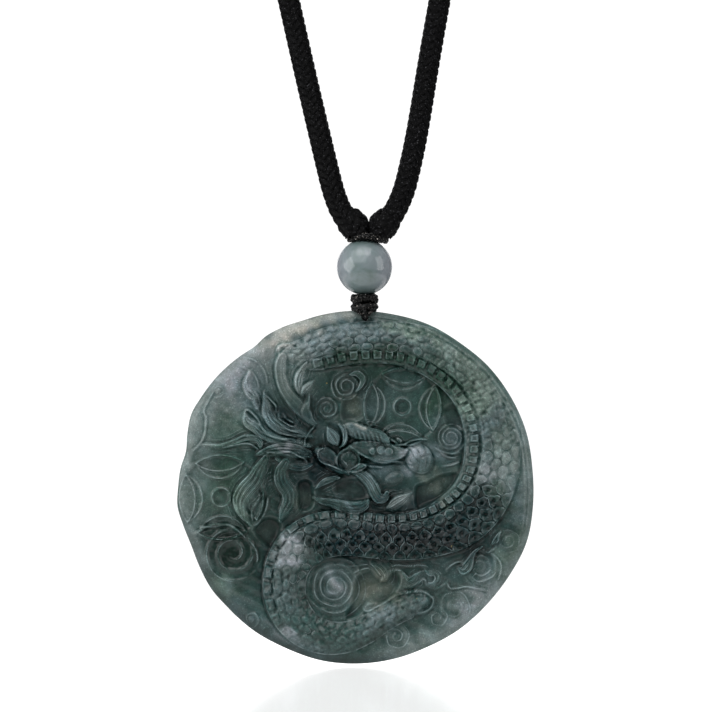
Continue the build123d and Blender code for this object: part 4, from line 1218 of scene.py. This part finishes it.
def disc_places(u, v):
    """Squares u, v from -1 to 1 as shares of the way out and angles, with equal areas."""
    wide = np.abs(u) > np.abs(v)
    out = np.where(wide, u, v)
    with np.errstate(divide="ignore", invalid="ignore"):
        turn = np.where(wide, pi / 4 * v / u, pi / 2 - pi / 4 * u / v)
    turn = np.where(out == 0, 0, turn)
    x, z = out * np.cos(turn), out * np.sin(turn)
    return np.hypot(x, z), np.arctan2(z, x)


def blurred(grid, width):
    """A grid of heights, softened over so many cells."""
    steps = np.arange(-3 * width, 3 * width + 1)
    weights = np.exp(-0.5 * (steps / width) ** 2)
    weights /= weights.sum()
    for axis in (0, 1):
        padding = [(0, 0), (0, 0)]
        padding[axis] = (3 * width, 3 * width)
        padded = np.pad(grid, padding, mode="edge")
        grid = sum(weight * np.take(padded, range(step, step + grid.shape[axis]), axis=axis)
                   for step, weight in enumerate(weights))
    return grid


def mixed(first, second, share):
    """Colours between the first and the second, by a share of the second at each point."""
    return first * (1 - share[:, None]) + second * share[:, None]


class PENDANT_OT_plaque(bpy.types.Operator):
    """Carves the jade plaque"""
    bl_idname = "pendant.plaque"
    bl_label = "Jade plaque"

    def execute(self, context):
        sizes = context.scene.pendant_plaque
        alone()
        bpy.ops.mesh.primitive_grid_add(x_subdivisions=sizes.cells, y_subdivisions=sizes.cells, size=2)
        plaque = context.object
        square = points_of(plaque)
        out, turn = disc_places(square[:, 0], square[:, 1])
        share = outline_share(turn)
        radius = sizes.radius / MM
        x, z = out * share * radius * np.cos(turn), out * share * radius * np.sin(turn)
        carving = Carving(x, z, radius)
        matt = self.carve(carving)
        height = carving.height + 0.05 * ripple(x, z, 2.4, 31) + 0.03 * ripple(x, z, 1.2, 32)
        from_edge = (1 - out) * share * radius
        height = height * smooth_step(0.05, 1.6, from_edge) + self.rim_line(from_edge, np.degrees(turn))
        grid = height.reshape(sizes.cells + 1, sizes.cells + 1)
        for name, (cells, full) in RELIEF.items():
            above = (grid - blurred(grid, cells)).ravel()
            keep_values(plaque, name, np.clip(0.5 + above / full, 0, 1))
        width = sizes.rim_width / MM
        height = height - sizes.rim_fall / MM * np.clip(1 - from_edge / width, 0, 1) ** 2
        move_points(plaque, np.column_stack([
            PLAQUE_CENTRE.x + x * MM, PLAQUE_CENTRE.y - sizes.field - height * MM, PLAQUE_CENTRE.z + z * MM]))
        keep_values(plaque, "strand", carving.strand)
        keep_values(plaque, "arris", carving.arris)
        keep_values(plaque, "stranded", carving.stranded)
        keep_values(plaque, "matt", matt)
        self.back(plaque, sizes)
        self.drill(plaque, sizes)
        points = points_of(plaque)
        keep_values(plaque, "stone", self.stone(points, radius), "FLOAT_COLOR")
        behind = points[:, 1] > PLAQUE_CENTRE.y - 0.5 * sizes.field
        for name, plain in PLAIN.items():
            values = np.empty(len(points))
            plaque.data.attributes[name].data.foreach_get("value", values)
            keep_values(plaque, name, np.where(behind, plain, values))
        active(plaque)
        bpy.ops.object.shade_smooth_by_angle(angle=radians(60))
        finish_piece(plaque, "plaque_carved", carved_jade(), "carved_jade", "jade_disc")
        return {"FINISHED"}

    def carve(self, carving):
        """All the work on the front, from the field up; returns where it is left matt."""
        matt = np.zeros_like(carving.x)
        carving.height += 0.10 * ripple(carving.x, carving.z, 11.0, 1)
        for row in COINS:
            carving.coin(*row)
        for row in SCROLLS:
            carving.scroll(*row)
        for depth, corners in FLATS:
            where, cover = carving.flat(depth, corners)
            matt[where] = np.maximum(matt[where], cover)
        carving.coil()
        for row in FACE_LINES + FIELD_LINES + LOCK_LINES:
            carving.line(*row)
        for row in LOCKS.values():
            carving.lock(*row)
        for row in LUMPS:
            carving.lump(*row)
        carving.face()
        # The locks and lumps cover these lines, so they are cut again on top.
        for row in FACE_LINES + LOCK_LINES:
            carving.line(*row)
        return matt

    def rim_line(self, from_edge, angle):
        """Two thin steps inside the rim on the right."""
        reach = smooth_step(-25, -5, angle) * smooth_step(92, 80, angle)
        return reach * sum(0.20 * ridge(from_edge - inward, 0.16) for inward in (0.65, 1.25))

    def back(self, plaque, sizes):
        """The rounded edge and the flat back, drawn out from the rim of the face."""
        active(plaque)
        bpy.ops.object.mode_set(mode="EDIT")
        bpy.ops.mesh.select_all(action="DESELECT")
        bpy.ops.mesh.select_mode(type="VERT")
        bpy.ops.mesh.select_non_manifold()
        flank = sizes.thickness - sizes.rim_fall
        steps = [
            # share of the flank, share of the width so far
            (0.30, 1.000), (0.20, 1.000), (0.28, 0.990), (0.14, 0.982), (0.08, 0.980),
            (0.0, 0.90), (0.0, 0.60), (0.0, 0.30),
        ]
        for share, wide in steps:
            bpy.ops.mesh.extrude_region_move(TRANSFORM_OT_translate={"value": (0, share * flank, 0)})
            bpy.ops.transform.resize(value=(wide, 1, wide), center_override=PLAQUE_CENTRE)
        bpy.ops.mesh.merge(type="CENTER")
        bpy.ops.mesh.select_all(action="SELECT")
        bpy.ops.mesh.normals_make_consistent(inside=False)
        bpy.ops.object.mode_set(mode="OBJECT")

    def drill(self, plaque, sizes):
        """The hole for the thread, from front to back."""
        alone()
        bpy.ops.mesh.primitive_cylinder_add(vertices=24, radius=sizes.hole / 2, depth=20 * MM,
                                            location=HOLE_CENTRE, rotation=(pi / 2, 0, 0))
        bored(plaque, "hole", bpy.context.object)

    def stone(self, points, radius):
        """The stone's colour at each point, from its clouds, with painted light through the thin rim."""
        paint = {name: np.array(linear(colour)) for name, colour in STONE.items()}
        x = (points[:, 0] - PLAQUE_CENTRE.x) / MM / radius
        z = (points[:, 2] - PLAQUE_CENTRE.z) / MM / radius
        wobble = 0.035 * ripple(x, z, 0.40, 21) + 0.03 * ripple(x, z, 0.14, 23)
        other = 0.035 * ripple(x, z, 0.36, 22) + 0.03 * ripple(x, z, 0.12, 24)
        colour = np.tile(paint["ground"], (len(x), 1))
        for cloud_x, cloud_z, half_length, half_width, turn, name, strength in CLOUDS:
            a, b = turned(x + wobble - cloud_x, z + other - cloud_z, turn)
            away = (a / half_length) ** 2 + (b / half_width) ** 2
            colour = mixed(colour, paint[name], strength * np.exp(-away ** 1.3))
        # The rim is painted paler, as light shining through the thin edge, and dark teal at the bottom left.
        out = np.hypot(x, z) / outline_share(np.arctan2(z, x))
        below = smooth_step(0.0, -0.35, z) * smooth_step(0.35, 0.15, x)
        rim = mixed(paint["pale"], paint["teal"], below)
        colour = mixed(colour, rim, 0.5 * smooth_step(0.93, 0.99, out))
        behind = smooth_step(0.2, 1.8, (points[:, 1] - PLAQUE_CENTRE.y) / MM)
        return np.column_stack([mixed(colour, paint["back"], behind), np.ones(len(x))])


class PENDANT_OT_bead(bpy.types.Operator):
    """Turns and drills the jade bead"""
    bl_idname = "pendant.bead"
    bl_label = "Jade bead"

    def execute(self, context):
        bore = context.scene.pendant_bead.bore
        alone()
        bpy.ops.mesh.primitive_uv_sphere_add(segments=72, ring_count=48, radius=BEAD_RADIUS,
                                             location=BEAD_CENTRE)
        bpy.ops.object.transform_apply(location=True, rotation=True, scale=True)
        bead = context.object
        bpy.ops.mesh.primitive_cylinder_add(vertices=36, radius=bore / 2, depth=3 * BEAD_RADIUS,
                                            location=BEAD_CENTRE)
        bored(bead, "bore", context.object)
        active(bead)
        bpy.ops.object.shade_smooth_by_angle(angle=radians(40))
        finish_piece(bead, "bead_polished", bead_jade(), "bead_jade", "jade_bead")
        return {"FINISHED"}


def distances(points):
    """How far along a line each of its points is."""
    gaps = np.linalg.norm(np.diff(points, axis=0), axis=1)
    return np.concatenate([[0], np.cumsum(gaps)])


def points_at(places, travelled, points):
    """The points at places along a line, whose own points are so far along it."""
    return np.column_stack([np.interp(places, travelled, points[:, axis]) for axis in range(3)])


def frames_along(points):
    """Two unit directions across a line at each of its points, which don't twist along it."""
    way = np.gradient(points, axis=0)
    way /= np.linalg.norm(way, axis=1)[:, None]
    first = np.cross(way[0], (0.0, 1.0, 0.0))
    if np.linalg.norm(first) < 0.1:
        first = np.cross(way[0], (1.0, 0.0, 0.0))
    side = [first / np.linalg.norm(first)]
    for direction in way[1:]:
        across = side[-1] - direction * np.dot(side[-1], direction)
        side.append(across / np.linalg.norm(across))
    side = np.array(side)
    return side, np.cross(way, side)


def strand_mesh(rings):
    """Points and faces of a closed strand from its rings of points."""
    count, sides = rings.shape[:2]
    points = rings.reshape(-1, 3)
    here = np.arange(count * sides).reshape(count, sides)
    following = np.roll(here, -1, axis=1)
    quads = np.stack([here[:-1], following[:-1], following[1:], here[1:]], axis=-1).reshape(-1, 4)
    caps = [here[0][::-1].tolist(), here[-1].tolist()]
    return points, quads.tolist() + caps


def join_strands(name, strands, lays=None):
    """One mesh object from strands of rings, with the places along them as its UV map if given."""
    points, faces, start = [], [], 0
    for rings in strands:
        its_points, its_faces = strand_mesh(rings)
        points.append(its_points)
        faces += [[corner + start for corner in face] for face in its_faces]
        start += len(its_points)
    mesh = bpy.data.meshes.new(name)
    mesh.from_pydata(np.vstack(points), [], faces)
    mesh.update()
    piece = bpy.data.objects.new(name, mesh)
    bpy.context.scene.collection.objects.link(piece)
    if lays is not None:
        corners = np.empty(len(mesh.loops), int)
        mesh.loops.foreach_get("vertex_index", corners)
        layer = mesh.uv_layers.new(name="lay")
        layer.data.foreach_set("uv", np.vstack(lays)[corners].ravel())
    active(piece)
    bpy.ops.object.mode_set(mode="EDIT")
    bpy.ops.mesh.select_all(action="SELECT")
    bpy.ops.mesh.normals_make_consistent(inside=False)
    bpy.ops.object.mode_set(mode="OBJECT")
    bpy.ops.object.shade_smooth_by_angle(angle=radians(75))
    return piece


def round_rings(points, radius, sides):
    """Rings of a round strand along points; radius is one value or one for each point."""
    side, up = frames_along(points)
    turn = 2 * pi * np.arange(sides) / sides
    radius = np.broadcast_to(radius, (len(points),))[:, None, None]
    ring = np.cos(turn)[None, :, None] * side[:, None, :] + np.sin(turn)[None, :, None] * up[:, None, :]
    return points[:, None, :] + radius * ring


def twisted(points, thread, lay):
    """The two plies of a twisted thread along points."""
    travelled = distances(points)
    count = max(int(travelled[-1] / PLY_STEP), 4)
    points = points_at(np.linspace(0, travelled[-1], count), travelled, points)
    side, up = frames_along(points)
    travelled = distances(points)
    plies = []
    for ply in (0, pi):
        turn = 2 * pi * travelled / lay + ply
        centre = points + 0.25 * thread * (np.cos(turn)[:, None] * side + np.sin(turn)[:, None] * up)
        plies.append(round_rings(centre, 0.29 * thread, 8))
    return plies


def winding(centre, half_x, half_y, low, high, turns, start, tilt, bulge, droop):
    """Oval turns from low to high, tilted to the right, drooping at the sides and drawn in at the ends."""
    turn = np.linspace(0, 2 * pi * turns, int(48 * turns))
    share = np.linspace(0, 1, len(turn))
    z = low + (high - low) * share + tilt * np.cos(turn + start) + 0.05 * MM * np.sin(3.3 * turn + 1)
    middle, reach = (low + high) / 2, bulge * MM
    wide = np.sqrt(np.clip(1 - ((z - middle) / reach) ** 2, 0.1, 1))
    return np.column_stack([centre.x + half_x * wide * np.cos(turn + start),
                            centre.y + half_y * wide * np.sin(turn + start),
                            centre.z + z - droop * np.cos(turn + start) ** 2])


class PENDANT_OT_wraps(bpy.types.Operator):
    """Winds the thread collar, the knot under the bead and the thread through the plaque"""
    bl_idname = "pendant.wraps"
    bl_label = "Thread wraps"

    def execute(self, context):
        sizes = context.scene.pendant_thread
        material = waxed_thread()
        self.collar(sizes.thread, sizes.lay, material)
        self.knot(sizes.thread, sizes.lay, material)
        self.hanging_thread(sizes.lay, material)
        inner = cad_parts["bead_thread"]
        inner.data.materials.clear()
        inner.data.materials.append(material)
        return {"FINISHED"}

    def core(self, centre, half_x, half_y, low, high):
        """A round-edged oval plug inside the windings, as rings."""
        turn = 2 * pi * np.arange(24) / 24
        rings = []
        for share, wide in ((0.0, 0.80), (0.12, 0.97), (0.5, 1.0), (0.88, 0.97), (1.0, 0.80)):
            rings.append(np.column_stack([centre.x + wide * half_x * np.cos(turn),
                                          centre.y + wide * half_y * np.sin(turn),
                                          np.full(24, centre.z + low + (high - low) * share)]))
        return np.array(rings)

    def windings(self, rows, centre, half_x, half_y, bulge, thread, lay, droop=0.0):
        """Twisted threads wound by rows of low, high, turns, start, tilt and added half width."""
        strands = []
        for low, high, turns, start, tilt, more in rows:
            line = winding(centre, half_x + more * MM, half_y + more * MM, low * MM, high * MM, turns, start,
                           tilt * MM, bulge, droop)
            strands += twisted(line, thread, lay)
        return strands

    def collar(self, thread, lay, material):
        """The wrap that binds the ends of the neck cord."""
        low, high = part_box("cord_collar")
        centre = Vector(((low.x + high.x) / 2, (low.y + high.y) / 2, BEAD_CENTRE.z))
        half_x, half_y = (high.x - low.x) / 2 - thread / 2, (high.y - low.y) / 2 - thread / 2
        rows = [
            # low, high, turns, start, tilt, added half width
            (3.96, 4.56, 2.2, 0.6, -0.10, 0.00),
            (4.52, 4.62, 1.1, 2.4, 0.10, -0.12),
            (4.14, 4.30, 1.0, 4.4, -0.28, 0.14),
        ]
        strands = self.windings(rows, centre, half_x, half_y, 0.62, thread, lay, 0.30 * MM)
        strands.append(self.core(centre, half_x, half_y, 3.75 * MM, 4.62 * MM))
        piece = join_strands("collar_wound", strands)
        finish_piece(piece, "collar_wound", material, "thread", "cord_collar")

    def knot(self, thread, lay, material):
        """The knot of two lumps under the bead."""
        low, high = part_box("lower_knot")
        centre = Vector(((low.x + high.x) / 2, (low.y + high.y) / 2, BEAD_CENTRE.z))
        upper = [
            # low, high, turns, start, tilt, added half width
            (-4.08, -5.02, 2.6, 0.4, 0.08, 0.00),
            (-4.40, -4.75, 1.3, 4.0, 0.42, 0.10),
            (-4.75, -4.40, 1.2, 1.0, -0.40, 0.12),
        ]
        lower = [
            # low, high, turns, start, tilt, added half width
            (-5.42, -6.10, 2.1, 2.0, -0.10, 0.00),
            (-5.60, -5.90, 1.2, 1.0, 0.40, 0.08),
            (-5.90, -5.60, 1.1, 4.2, -0.38, 0.10),
        ]
        strands = self.windings(upper, centre, 1.74 * MM, 2.00 * MM, 0.74, thread, lay)
        strands += self.windings(lower, centre, 1.68 * MM, 2.75 * MM, 0.64, thread, lay)
        strands.append(self.core(centre, 1.50 * MM, 1.8 * MM, -4.00 * MM, -5.2 * MM))
        strands.append(self.core(centre, 1.45 * MM, 2.5 * MM, -5.2 * MM, -6.20 * MM))
        piece = join_strands("knot_wound", strands)
        finish_piece(piece, "knot_wound", material, "thread", "lower_knot")

    def hanging_thread(self, lay, material):
        """Three threads that draw together from the knot into the plaque's hole and up behind."""
        low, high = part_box("pendant_loop")
        front, back = low.y + 0.40 * MM, high.y - 0.40 * MM
        top = BEAD_CENTRE.z - 5.9 * MM
        x = HOLE_CENTRE.x - 0.05 * MM
        strands = []
        for offset, depth in ((-1, 0.0), (1, 0.0), (0, -0.30)):
            spread, close = 1.02 * MM * offset, 0.20 * MM * offset
            deep = depth * MM
            rows = [
                (x + spread, front * 0.35 + HOLE_CENTRE.y * 0.65, top + 0.2 * MM),
                (x + spread, front + 0.1 * MM + deep, top - 0.30 * MM),
                (x + 0.62 * spread, front + deep, HOLE_CENTRE.z + 0.62 * MM),
                (x + close, front + 0.20 * MM + deep, HOLE_CENTRE.z + 0.34 * MM),
                (x + close, front + 0.75 * MM, HOLE_CENTRE.z + 0.06 * MM + deep / 2),
                (x + close, HOLE_CENTRE.y, HOLE_CENTRE.z + deep / 2),
                (x + close, back - 0.75 * MM, HOLE_CENTRE.z + deep / 2),
                (x + close, back - 0.15 * MM - deep, HOLE_CENTRE.z + 0.12 * MM),
                (x + 0.62 * spread, back - deep, HOLE_CENTRE.z + 0.62 * MM),
                (x + spread, back - 0.1 * MM - deep, top - 0.30 * MM),
                (x + spread, back * 0.35 + HOLE_CENTRE.y * 0.65, top + 0.2 * MM),
            ]
            strands += twisted(smooth_rows(rows, 8), LOOP_THREAD, lay)
        inside = [HOLE_CENTRE + Vector((0, (back - front) * share, 0)) for share in (-0.38, -0.1, 0.1, 0.38)]
        strands.append(round_rings(np.array([list(point) for point in inside]), HOLE_FILL, 16))
        piece = join_strands("thread_through_hole", strands)
        finish_piece(piece, "thread_through_hole", material, "thread", "pendant_loop")


class PENDANT_OT_cord(bpy.types.Operator):
    """Braids the neck cord along its route"""
    bl_idname = "pendant.cord"
    bl_label = "Neck cord"

    def execute(self, context):
        sizes = context.scene.pendant_cord
        line = self.centre_line()
        travelled = distances(line)
        length = travelled[-1]
        places = self.places(length)
        points = points_at(places, travelled, line)
        side, up = frames_along(points)
        # The ends are thicker where they come out of the collar and drawn in where it binds them.
        from_end = np.minimum(places, length - places)
        past = np.maximum(from_end - 2.0 * MM, 0)
        swell = 1 + 0.37 * ridge(past, 1.0 * MM) + 0.06 * np.exp(-from_end / (14 * MM))
        swell -= 0.20 * smooth_step(1.6 * MM, 0, from_end)
        half = sizes.diameter / 2
        strands, lays = [], []
        for hand in (1, -1):
            for number in range(sizes.strands):
                rings, lay = self.strand(points, side, up, places, half, swell, sizes, hand, number)
                strands.append(rings)
                lays.append(lay)
        strands.append(round_rings(points[::2], 0.74 * half * swell[::2], 6))
        lays.append(np.zeros((len(points[::2]) * 6, 2)))
        cord = join_strands("neck_cord_braided", strands, lays)
        finish_piece(cord, "neck_cord_braided", braided_yarn(), "braid", "neck_cord")
        return {"FINISHED"}

    def centre_line(self):
        """Points along the smooth curve of the route."""
        curve = bpy.data.curves.new("route", "CURVE")
        curve.dimensions = "3D"
        spline = curve.splines.new("NURBS")
        spline.points.add(len(ROUTE) - 1)
        for point, row in zip(spline.points, ROUTE):
            point.co = (*(BEAD_CENTRE + Vector(row) * MM), 1)
        spline.order_u = 3
        spline.use_endpoint_u = True
        spline.resolution_u = 40
        holder = bpy.data.objects.new("route", curve)
        bpy.context.scene.collection.objects.link(holder)
        bpy.context.view_layer.update()
        mesh = bpy.data.meshes.new_from_object(holder)
        found = np.empty(len(mesh.vertices) * 3)
        mesh.vertices.foreach_get("co", found)
        bpy.data.objects.remove(holder)
        bpy.data.curves.remove(curve)
        bpy.data.meshes.remove(mesh)
        return found.reshape(-1, 3)

    def places(self, length):
        """Places along the cord, close together where it shows beside the pendant."""
        near, fine, coarse = 42 * MM, 0.26 * MM, 0.75 * MM
        ends = np.arange(0, near, fine)
        middle = np.arange(near, length - near, coarse)
        return np.concatenate([ends, middle, length - ends[::-1]])

    def strand(self, points, side, up, places, half, swell, sizes, hand, number):
        """One flat strand that goes over two and under two, and its places for the UV map."""
        crossings = 2 * sizes.strands * places / sizes.pitch
        over = np.cos(pi / 2 * (hand * crossings + 2 * number) - pi / 4) * hand
        turn = hand * 2 * pi * places / sizes.pitch + 2 * pi * number / sizes.strands
        out = np.cos(turn)[:, None] * side + np.sin(turn)[:, None] * up
        around = -np.sin(turn)[:, None] * side + np.cos(turn)[:, None] * up
        reach = (half * (0.88 + 0.09 * over) * swell)[:, None]
        centre = points + reach * out
        way = np.gradient(centre, axis=0)
        way /= np.linalg.norm(way, axis=1)[:, None]
        wide = np.cross(way, out)
        wide /= np.linalg.norm(wide, axis=1)[:, None]
        wide *= np.sign((wide * around).sum(1))[:, None]
        section = [
            # across, out
            (-1.0, -0.1), (-0.55, 0.75), (0.55, 0.75), (1.0, -0.1), (0.0, -0.9),
        ]
        half_wide = 0.39 * MM * swell[:, None]
        half_thick = 0.20 * MM
        rings = np.stack([centre + a * half_wide * wide + b * half_thick * out for a, b in section], axis=1)
        lay = np.stack([np.column_stack([places / MM, np.full(len(places), column / 4)])
                        for column in range(len(section))], axis=1)
        return rings, lay.reshape(-1, 2)


class PENDANT_OT_stage(bpy.types.Operator):
    """Sets the floor, the lights and the camera"""
    bl_idname = "pendant.stage"
    bl_label = "Stage"

    def execute(self, context):
        sizes = context.scene.pendant_stage
        self.floor(sizes)
        self.surround(context, sizes)
        middle = PLAQUE_CENTRE + Vector((0, -2 * MM, 8 * MM))
        for row in LAMPS:
            self.lamp(middle, *row)
        self.camera(context, sizes)
        return {"FINISHED"}

    def floor(self, sizes):
        """The round white sheet under the pendant."""
        alone()
        under = (PLAQUE_CENTRE.x, PLAQUE_CENTRE.y, PLAQUE_LOW.z - sizes.floor_gap)
        bpy.ops.mesh.primitive_circle_add(vertices=96, radius=sizes.floor_radius, fill_type="NGON",
                                          location=under)
        floor = bpy.context.object
        bpy.ops.object.transform_apply(location=True, rotation=True, scale=True)
        floor.name = "floor"
        floor.data.materials.append(pale_stage())

    def surround(self, context, sizes):
        """A white backdrop to the camera, dimmer as a light."""
        world = bpy.data.worlds.new("studio")
        world.use_nodes = True
        tree = world.node_tree
        tree.nodes.clear()
        seen = node(tree, "ShaderNodeLightPath").outputs["Is Camera Ray"]
        strength = node(tree, "ShaderNodeMapRange", inputs={"Value": seen, "To Min": 0.12, "To Max": 1.1})
        background = node(tree, "ShaderNodeBackground", inputs={
            "Color": (*sizes.backdrop, 1), "Strength": strength.outputs[0]})
        node(tree, "ShaderNodeOutputWorld", inputs={"Surface": background.outputs[0]})
        context.scene.world = world

    def lamp(self, middle, name, azimuth, height, roll, distance, width, tall, watts):
        """One soft rectangular lamp that faces the middle."""
        azimuth, height = radians(azimuth), radians(height)
        way = Vector((sin(azimuth) * cos(height), -cos(azimuth) * cos(height), sin(height)))
        data = bpy.data.lights.new(name, "AREA")
        data.shape = "RECTANGLE"
        data.size = width
        data.size_y = tall
        data.energy = watts
        lamp = bpy.data.objects.new(name, data)
        lamp.location = middle + way * distance
        facing = way.to_track_quat("Z", "Y") @ Quaternion((0, 0, 1), radians(roll))
        lamp.rotation_euler = facing.to_euler()
        bpy.context.scene.collection.objects.link(lamp)

    def camera(self, context, sizes):
        """The photograph's view: level and square to the carved front."""
        data = bpy.data.cameras.new("camera")
        view = PHOTO_SIZE / PHOTO_SCALE * MM
        data.sensor_width = 36
        data.lens = data.sensor_width * sizes.distance / view
        data.clip_start = 0.01
        data.clip_end = 50
        camera = bpy.data.objects.new("camera", data)
        x = BEAD_CENTRE.x + (PHOTO_SIZE / 2 - BEAD_PIXEL[0]) / PHOTO_SCALE * MM
        z = BEAD_CENTRE.z + (BEAD_PIXEL[1] - PHOTO_SIZE / 2) / PHOTO_SCALE * MM
        camera.location = (x, BEAD_CENTRE.y - sizes.distance, z)
        camera.rotation_euler = (pi / 2, 0, 0)
        context.scene.collection.objects.link(camera)
        context.scene.camera = camera
        context.scene.view_settings.view_transform = "Standard"


class PENDANT_PT_panel(bpy.types.Panel):
    """Settings and a button for each piece"""
    bl_idname = "PENDANT_PT_panel"
    bl_label = "Jade pendant"
    bl_space_type = "VIEW_3D"
    bl_region_type = "UI"
    bl_category = "Pendant"

    def draw(self, context):
        for settings, operator in PIECES:
            group = getattr(context.scene, settings)
            for name in group.bl_rna.properties.keys():
                if name not in ("rna_type", "name"):
                    self.layout.prop(group, name)
            self.layout.operator(operator)


PIECES = [
    ("pendant_cord", "pendant.cord"),
    ("pendant_thread", "pendant.wraps"),
    ("pendant_bead", "pendant.bead"),
    ("pendant_plaque", "pendant.plaque"),
    ("pendant_stage", "pendant.stage"),
]
GROUPS = {
    "pendant_plaque": PlaqueSettings,
    "pendant_bead": BeadSettings,
    "pendant_thread": ThreadSettings,
    "pendant_cord": CordSettings,
    "pendant_stage": StageSettings,
}
CLASSES = list(GROUPS.values()) + [PENDANT_OT_plaque, PENDANT_OT_bead, PENDANT_OT_wraps, PENDANT_OT_cord,
                                   PENDANT_OT_stage, PENDANT_PT_panel]


def register():
    """Makes the classes and settings known to Blender."""
    for item in CLASSES:
        bpy.utils.register_class(item)
    for name, group in GROUPS.items():
        setattr(bpy.types.Scene, name, PointerProperty(type=group))


def unregister():
    """Takes the settings and classes away again."""
    for name in GROUPS:
        delattr(bpy.types.Scene, name)
    for item in reversed(CLASSES):
        bpy.utils.unregister_class(item)


def main():
    """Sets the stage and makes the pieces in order."""
    register()
    bpy.ops.pendant.stage()
    bpy.ops.pendant.cord()
    bpy.ops.pendant.wraps()
    bpy.ops.pendant.bead()
    bpy.ops.pendant.plaque()


if __name__ == "__main__":
    main()
